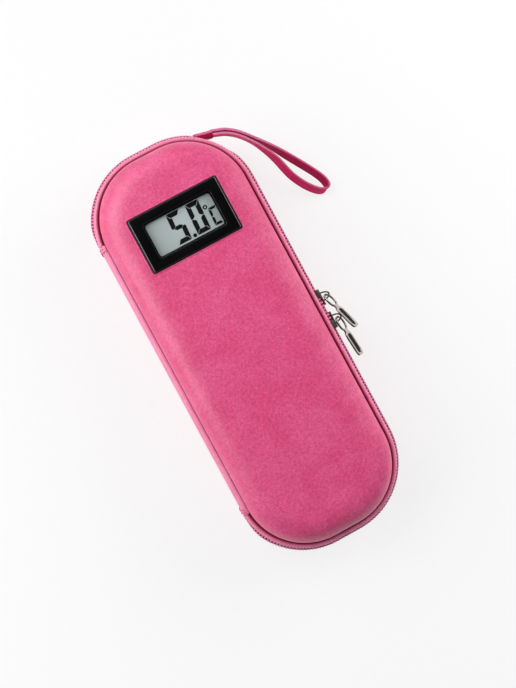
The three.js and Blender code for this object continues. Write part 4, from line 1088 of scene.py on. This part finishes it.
def make_contact_shadow_ring():
    """A thin dark ring between the bezel's flange and the leather: painted contact shadow, seen as a dark
    line round the bezel.
    """
    low = FRONT_Z + SHADOW_RING_FOOT
    high = FRONT_Z + CLEAR - SHADOW_RING_FOOT
    hole = SHADOW_RING_OUT - SHADOW_RING_WIDTH
    section = ((SHADOW_RING_OUT, low), (SHADOW_RING_OUT, high), (hole, high), (hole, low))
    rings = [bezel_ring(grow, SHADOW_RING_CORNER, z) for grow, z in section]
    shadow_ring = lofted("bezel_contact_shadow_ring", rings, CONTACT_SHADOW, closed=True)
    stands_for(shadow_ring, "lid", "black_plastic")


def make_leather_lip():
    """The leather's rolled lip round the bezel's opening, which catches the light below the bezel."""
    rings = []
    for i in range(LIP_STEPS + 1):
        angle = math.pi * i / LIP_STEPS
        roll = LIP_WIDTH * (1 + math.cos(angle)) / 2
        z = FRONT_Z - LIP_SINK + (LIP_RISE + LIP_SINK) * math.sin(angle)
        rings.append(bezel_ring(SHADOW_RING_OUT + roll, SHADOW_RING_CORNER + roll, z))
    lip = lofted("bezel_leather_lip", rings, LEATHER, closed=True)
    stands_for(lip, "lid", "pink_leather")


def make_thermometer():
    # The bevels take the lighter edge colour, a painted highlight
    case = bevelled_copy("thermometer_case", "thermometer_moulding", MOULDING_EDGE, BLACK_ABS, ABS_BEVEL_HIGHLIGHT)
    paint_edge_highlight(case)
    stands_for(case, "lid", "black_plastic", "thermometer_case")
    cover = bevelled_copy("rear_cover", "rear_cover_moulding", MOULDING_EDGE, BLACK_ABS, ABS_BEVEL_HIGHLIGHT)
    stands_for(cover, "lid", "black_plastic", "rear_cover")
    door = bevelled_copy("battery_door", "battery_door_moulding", DOOR_EDGE, BLACK_ABS)
    stands_for(door, "door", "black_plastic", "battery_door")
    finishes = {
        "display_window": ACRYLIC, "lcd_panel": LCD_FILM, "zebra_strip": ZEBRA_RUBBER,
        "circuit_board": LAMINATE, "control_chip": EPOXY, "thermistor": EPOXY, "cell_contact": NICKEL,
        "left_cell": CELL_STEEL, "right_cell": CELL_STEEL,
    }
    for node, material in finishes.items():
        mesh = frame["nodes"][node].data
        mesh.materials.clear()
        mesh.materials.append(material)


make_thermometer()
make_contact_shadow_ring()
make_leather_lip()

# Reading on the panel: places are measured from the bezel's centre
DIGIT_HEIGHT = 16.2 * MM
DIGIT_WIDTH = 7.15 * MM
STROKE = 2.35 * MM
SLANT = 0.05
DIGIT_BASE = -7.6 * MM
FIVE_X = -7.05 * MM
ZERO_X = 3.6 * MM
POINT = Vector((2.1, -6.8)) * MM
POINT_RADIUS = 1 * MM
UNIT_X = 13.3 * MM
UNIT_BASE = -7.4 * MM
UNIT_HEIGHT = 9.4 * MM
UNIT_WIDTH = 4.4 * MM
UNIT_STROKE = 1.3 * MM
DEGREE = Vector((12.95, 3.2)) * MM
DEGREE_RADIUS = 1.15 * MM
DEGREE_HOLE = 0.5 * MM
BORDER_TOP = -8.4 * MM
INK_LIFT = 0.05 * MM
INK_THICKNESS = 0.03 * MM
SEGMENT_GAP = 0.16 * MM
CORNER_CUT = 0.2 * MM
MITRE = 0.62
NICK = 0.42


def segments(letters, left, bottom, width, height, stroke):
    """Bars of a seven-segment figure, mitred at its corners.

    Bar a is the top one, then clockwise, and g is the middle one.
    """
    slope = stroke * MITRE
    nick = stroke * NICK
    inner = stroke + SEGMENT_GAP
    reach = (height - SEGMENT_GAP) / 2
    upright = [(0, SEGMENT_GAP), (slope, inner), (stroke, inner), (stroke, reach - nick),
               (nick, reach), (nick / 3, reach), (0, reach - nick / 2)]
    level = [(SEGMENT_GAP, 0), (width - SEGMENT_GAP, 0), (width - slope - SEGMENT_GAP, stroke),
             (slope + SEGMENT_GAP, stroke)]
    middle = [(nick + SEGMENT_GAP, 0), (stroke + SEGMENT_GAP / 2, nick * 1.05)]
    middle += [(width - u, v) for u, v in reversed(middle)]
    middle += [(u, -v) for u, v in reversed(middle) if v]

    def placed(points, from_right, from_bottom):
        return [Vector((left + width - u if from_right else left + u,
                        bottom + v if from_bottom else bottom + height - v)) for u, v in points]

    bars = {
        "a": placed(level, False, False), "b": placed(upright, True, False),
        "c": placed(upright, True, True), "d": placed(level, False, True),
        "e": placed(upright, False, True), "f": placed(upright, False, False),
        "g": [Vector((left + u, bottom + height / 2 + v)) for u, v in middle],
    }
    return [bars[letter] for letter in letters]


def blunted(points):
    """An outline with its corners cut a little, as the edges of printed bars run."""
    cut = []
    for before, point, after in zip(points[-1:] + points, points, points[1:] + points[:1]):
        for end in (before, after):
            way = end - point
            cut.append(point + way.normalized() * min(CORNER_CUT, way.length / 3))
    return cut


def round_points(middle, radius, steps=24):
    angles = [i / steps * 2 * math.pi for i in range(steps)]
    return [middle + Vector((math.cos(a), math.sin(a))) * radius for a in angles]


def make_reading():
    low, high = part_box("lcd_panel")
    middle_y = (low.y + high.y) / 2
    bars = segments("acdfg", FIVE_X, DIGIT_BASE, DIGIT_WIDTH, DIGIT_HEIGHT, STROKE)
    bars += segments("abcdef", ZERO_X, DIGIT_BASE, DIGIT_WIDTH, DIGIT_HEIGHT, STROKE)
    bars += segments("adef", UNIT_X, UNIT_BASE, UNIT_WIDTH, UNIT_HEIGHT, UNIT_STROKE)
    shapes = [blunted(bar) for bar in bars] + [round_points(POINT, POINT_RADIUS)]
    shapes = [[Vector((p.x + SLANT * (p.y - DIGIT_BASE), p.y)) for p in shape] for shape in shapes]
    # The panel's lower edge has a printed black border
    bottom = low.y - middle_y
    border = ((low.x, bottom), (high.x, bottom), (high.x, BORDER_TOP), (low.x, BORDER_TOP))
    shapes.append([Vector(p) for p in border])
    vertices = []
    faces = []
    for shape in shapes:
        faces.append(tuple(range(len(vertices), len(vertices) + len(shape))))
        vertices += shape
    ring_start = len(vertices)
    outer = round_points(DEGREE, DEGREE_RADIUS)
    vertices += outer + round_points(DEGREE, DEGREE_HOLE)
    count = len(outer)
    for i in range(count):
        j = (i + 1) % count
        faces.append(tuple(ring_start + k for k in (i, j, count + j, count + i)))
    mesh = bpy.data.meshes.new("lcd_reading")
    mesh.from_pydata([(p.x, p.y + middle_y, high.z + INK_LIFT) for p in vertices], [], faces)
    mesh.materials.append(LCD_INK)
    reading = add_object("lcd_reading", mesh)
    ink = reading.modifiers.new("ink", "SOLIDIFY")
    ink.thickness = INK_THICKNESS
    ink.offset = 1
    baked(reading)
    stands_for(reading, "lid", "lcd_glass")


make_reading()


# Linings
def make_linings():
    inset = SHELL_WALL + CLEAR
    shape = (LINING_OUT, LINING_THICKNESS, LINING, LINING_ROLL)
    lid = moulded_half("lid_inner_lining", 1, FRONT_Z - ZIP_Z - inset, *shape)
    cut_box(lid, (COVER_LOW.x - LINING_MARGIN, COVER_LOW.y - LINING_MARGIN, ZIP_Z + GROOVE_HEIGHT),
            (COVER_HIGH.x + LINING_MARGIN, COVER_HIGH.y + LINING_MARGIN, FRONT_Z))
    stands_for(lid, "lid", "grey_lining", "lid_lining")
    base = moulded_half("base_inner_lining", -1, ZIP_Z - BACK_Z - inset, *shape)
    stands_for(base, "base", "grey_lining", "base_lining")


make_linings()

# Gel pack
GEL_WELD = 1 * MM
GEL_WELD_WIDTH = 4 * MM
GEL_CROWN = 14 * MM
GEL_WRINKLE = 0.35 * MM
GEL_SHARES = (0.06, 0.14, 0.24, 0.36, 0.5, 0.65, 0.82, 1)
GEL_FULLNESS = 0.8
PUCKER_SCALE = 180
PUCKER_SHIFT = 7.0


def make_gel_pack():
    """A welded film cushion: flat weld all round, swollen middle, fine puckers beside the weld."""
    low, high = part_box("gel_pack")
    middle = (low.z + high.z) / 2
    edge = SIDE_X - high.x
    half = (high.z - low.z) / 2 - GEL_WELD / 2 - GEL_WRINKLE

    def side(sign):
        rings = [level_ring(-edge, middle + sign * GEL_WELD / 2),
                 level_ring(-edge - GEL_WELD_WIDTH, middle + sign * GEL_WELD / 2)]
        for share in GEL_SHARES:
            rise = math.sin(share * math.pi / 2) ** GEL_FULLNESS
            stirred = (1 - share) * min(share * 8, 1)
            ring = []
            for x, y, _ in level_ring(-edge - GEL_WELD_WIDTH - GEL_CROWN * share, 0):
                pucker = stirred * noise.noise((x * PUCKER_SCALE, y * PUCKER_SCALE, sign * PUCKER_SHIFT))
                ring.append((x, y, middle + sign * (GEL_WELD / 2 + half * rise + GEL_WRINKLE * pucker)))
            rings.append(ring)
        return rings

    gel = lofted("gel_cushion", side(-1)[::-1] + side(1), GEL_FILM, sharp_degrees=60)
    stands_for(gel, "base", "gel_film", "gel_pack")


make_gel_pack()

# Pen board and pen loops
BOARD_SOFT = 0.5 * MM
LOOP_BORE = 8.9 * MM
LOOP_STEP = 19.8 * MM
LOOP_THICKNESS = 1 * MM
LOOP_THINNED = 0.2 * MM
LOOP_COUNT = 3
LOOP_CENTRES = [(i - (LOOP_COUNT - 1) / 2) * LOOP_STEP for i in range(LOOP_COUNT)]
LOOP_STITCH = (0.4 * MM, 1.6 * MM, 0.4 * MM)
LOOP_STITCH_STEP = 2.4 * MM
LOOP_STITCH_LIFT = 0.1 * MM
ARCH_STEPS = 24


def make_pen_board():
    low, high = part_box("pen_board")
    inset = SIDE_X - high.x
    rim = ((BOARD_SOFT, 0), (BOARD_SOFT * 0.3, BOARD_SOFT * 0.3), (0, BOARD_SOFT))
    rings = [level_ring(-inset - cut, low.z + up) for cut, up in rim]
    rings += [level_ring(-inset - cut, high.z - up) for cut, up in reversed(rim)]
    board = lofted("pen_board_panel", rings, BOARD_COVER)
    stands_for(board, "base", "black_board", "pen_board")


make_pen_board()


def arches(low, high, radius, foot):
    """Points across a face of the loops, over each arch and flat between them."""
    points = [(low.x, foot)]
    for centre in LOOP_CENTRES:
        points.append((centre - radius, foot))
        for i in range(ARCH_STEPS + 1):
            angle = math.pi * (1 - i / ARCH_STEPS)
            points.append((centre + radius * math.cos(angle), low.z + LOOP_BORE + radius * math.sin(angle)))
        points.append((centre + radius, foot))
    return points + [(high.x, foot)]


def make_pen_loops():
    """Elastic bands sewn down between their arches."""
    for side in ("upper", "lower"):
        low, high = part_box(f"{side}_pen_loops")
        top = low.z + LOOP_THICKNESS
        outside = arches(low, high, LOOP_BORE + LOOP_THICKNESS - LOOP_THINNED, top)
        section = arches(low, high, LOOP_BORE, low.z) + outside[::-1]
        rings = [[(x, y, z) for x, z in section] for y in (low.y, high.y)]
        band = lofted(f"{side}_elastic", rings, ELASTIC)
        stands_for(band, "base", "black_elastic", f"{side}_pen_loops")
        seams = [(LOOP_CENTRES[0] + (i - 0.5) * LOOP_STEP) for i in range(LOOP_COUNT + 1)]
        paths = [[(x, y, top + LOOP_STITCH_LIFT) for y in (low.y + MM, high.y - MM)] for x in seams]
        stitches = row_of(f"{side}_elastic_stitches", paths, LOOP_STITCH_STEP, LOOP_STITCH, ELASTIC)
        stands_for(stitches, "base", "black_elastic")


make_pen_loops()


# Studio: a pale floor that fades into a pale world, and soft lamps from above and both sides
FLOOR_REACH = 1.5
WHITE = (1, 1, 1, 1)
BRIGHT_WAY = Vector((-0.4, 0.83, 0.38))


def seen_directly(tree):
    """1 for what the camera sees, also by reflection or through glass, and 0 for light on the object."""
    rays = add_node(tree, "ShaderNodeLightPath").outputs
    mirrored = add_node(tree, "ShaderNodeMath", {
        0: rays["Is Glossy Ray"], 1: rays["Is Transmission Ray"]}, operation="MAXIMUM")
    return add_node(tree, "ShaderNodeMath", {0: rays["Is Camera Ray"], 1: mirrored}, operation="MAXIMUM")


def make_floor():
    material, tree, shader, place = new_material("matt_paper_floor")
    tooth = add_node(tree, "ShaderNodeTexNoise", {"Vector": place, "Scale": per_metre(3), "Detail": 3})
    share = add_node(tree, "ShaderNodeMapRange", {"Value": tooth, "From Min": 0.3, "From Max": 0.7})
    colour = add_node(tree, "ShaderNodeMix", {
        FACTOR: share, FIRST: linear("f2f2f2"), SECOND: linear("f6f6f6")}, data_type="RGBA")
    set_inputs(tree, shader, {"Base Color": colour.outputs[MIXED], "Roughness": 0.9})
    white = add_node(tree, "ShaderNodeEmission", {"Color": WHITE, "Strength": 1})
    away = add_node(tree, "ShaderNodeVectorMath", {0: place}, operation="LENGTH")
    fade = add_node(tree, "ShaderNodeMapRange", {
        "Value": away.outputs["Value"], "From Min": 0.1, "From Max": 0.6, "To Min": 0.75, "To Max": 1})
    glow = add_node(tree, "ShaderNodeMath", {0: seen_directly(tree), 1: fade}, operation="MULTIPLY")
    mixed = add_node(tree, "ShaderNodeMixShader", {0: glow, 1: shader, 2: white})
    set_inputs(tree, tree.nodes["Material Output"], {"Surface": mixed})
    far = FLOOR_REACH
    corners = [(-far, -far, 0), (far, -far, 0), (far, far, 0), (-far, far, 0)]
    new_piece("paper_floor", corners, [(0, 1, 2, 3)], material)


def make_lamp(name, place, target, size, power, mirrored=True):
    data = bpy.data.lights.new(name, "AREA")
    data.shape = "DISK"
    data.size = size
    data.energy = power
    lamp = add_object(name, data)
    lamp.location = place
    lamp.rotation_euler = (Vector(target) - Vector(place)).to_track_quat("-Z", "Y").to_euler()
    lamp.visible_glossy = mirrored


def make_world():
    """White to the camera, dim as a light, and in reflections bright only towards one side."""
    world = bpy.data.worlds.new("pale_studio")
    world.use_nodes = True
    scene.world = world
    tree = world.node_tree
    dim = tree.nodes["Background"]
    set_inputs(tree, dim, {"Color": WHITE, "Strength": 0.17})
    way = add_node(tree, "ShaderNodeTexCoord").outputs["Generated"]
    towards = add_node(tree, "ShaderNodeVectorMath", {0: way, 1: BRIGHT_WAY}, operation="DOT_PRODUCT")
    sweep = add_node(tree, "ShaderNodeMapRange", {
        "Value": towards.outputs["Value"], "From Min": 0.6, "From Max": 1, "To Min": 0.25, "To Max": 3})
    rays = add_node(tree, "ShaderNodeLightPath").outputs
    strength = add_node(tree, "ShaderNodeMix", {
        0: rays["Is Glossy Ray"], 2: 1, 3: sweep}, data_type="FLOAT")
    white = add_node(tree, "ShaderNodeBackground", {"Color": WHITE, "Strength": strength})
    mixed = add_node(tree, "ShaderNodeMixShader", {0: seen_directly(tree), 1: dim, 2: white})
    set_inputs(tree, tree.nodes["World Output"], {"Surface": mixed})


make_floor()
make_lamp("key", (-0.25, 0.44, 0.55), (0, 0.02, 0.03), 0.5, 1.95)
make_lamp("left", (-0.52, 0.15, 0.32), (0, 0.02, 0.03), 0.5, 2.3)
make_lamp("fill", (0.35, -0.28, 0.70), (0, 0, 0.03), 0.7, 0.15)
# The photo shows no glint on the right shoulder
make_lamp("side", (0.50, 0.06, 0.26), (0, 0.0, 0.04), 0.5, 2.4, mirrored=False)
make_world()
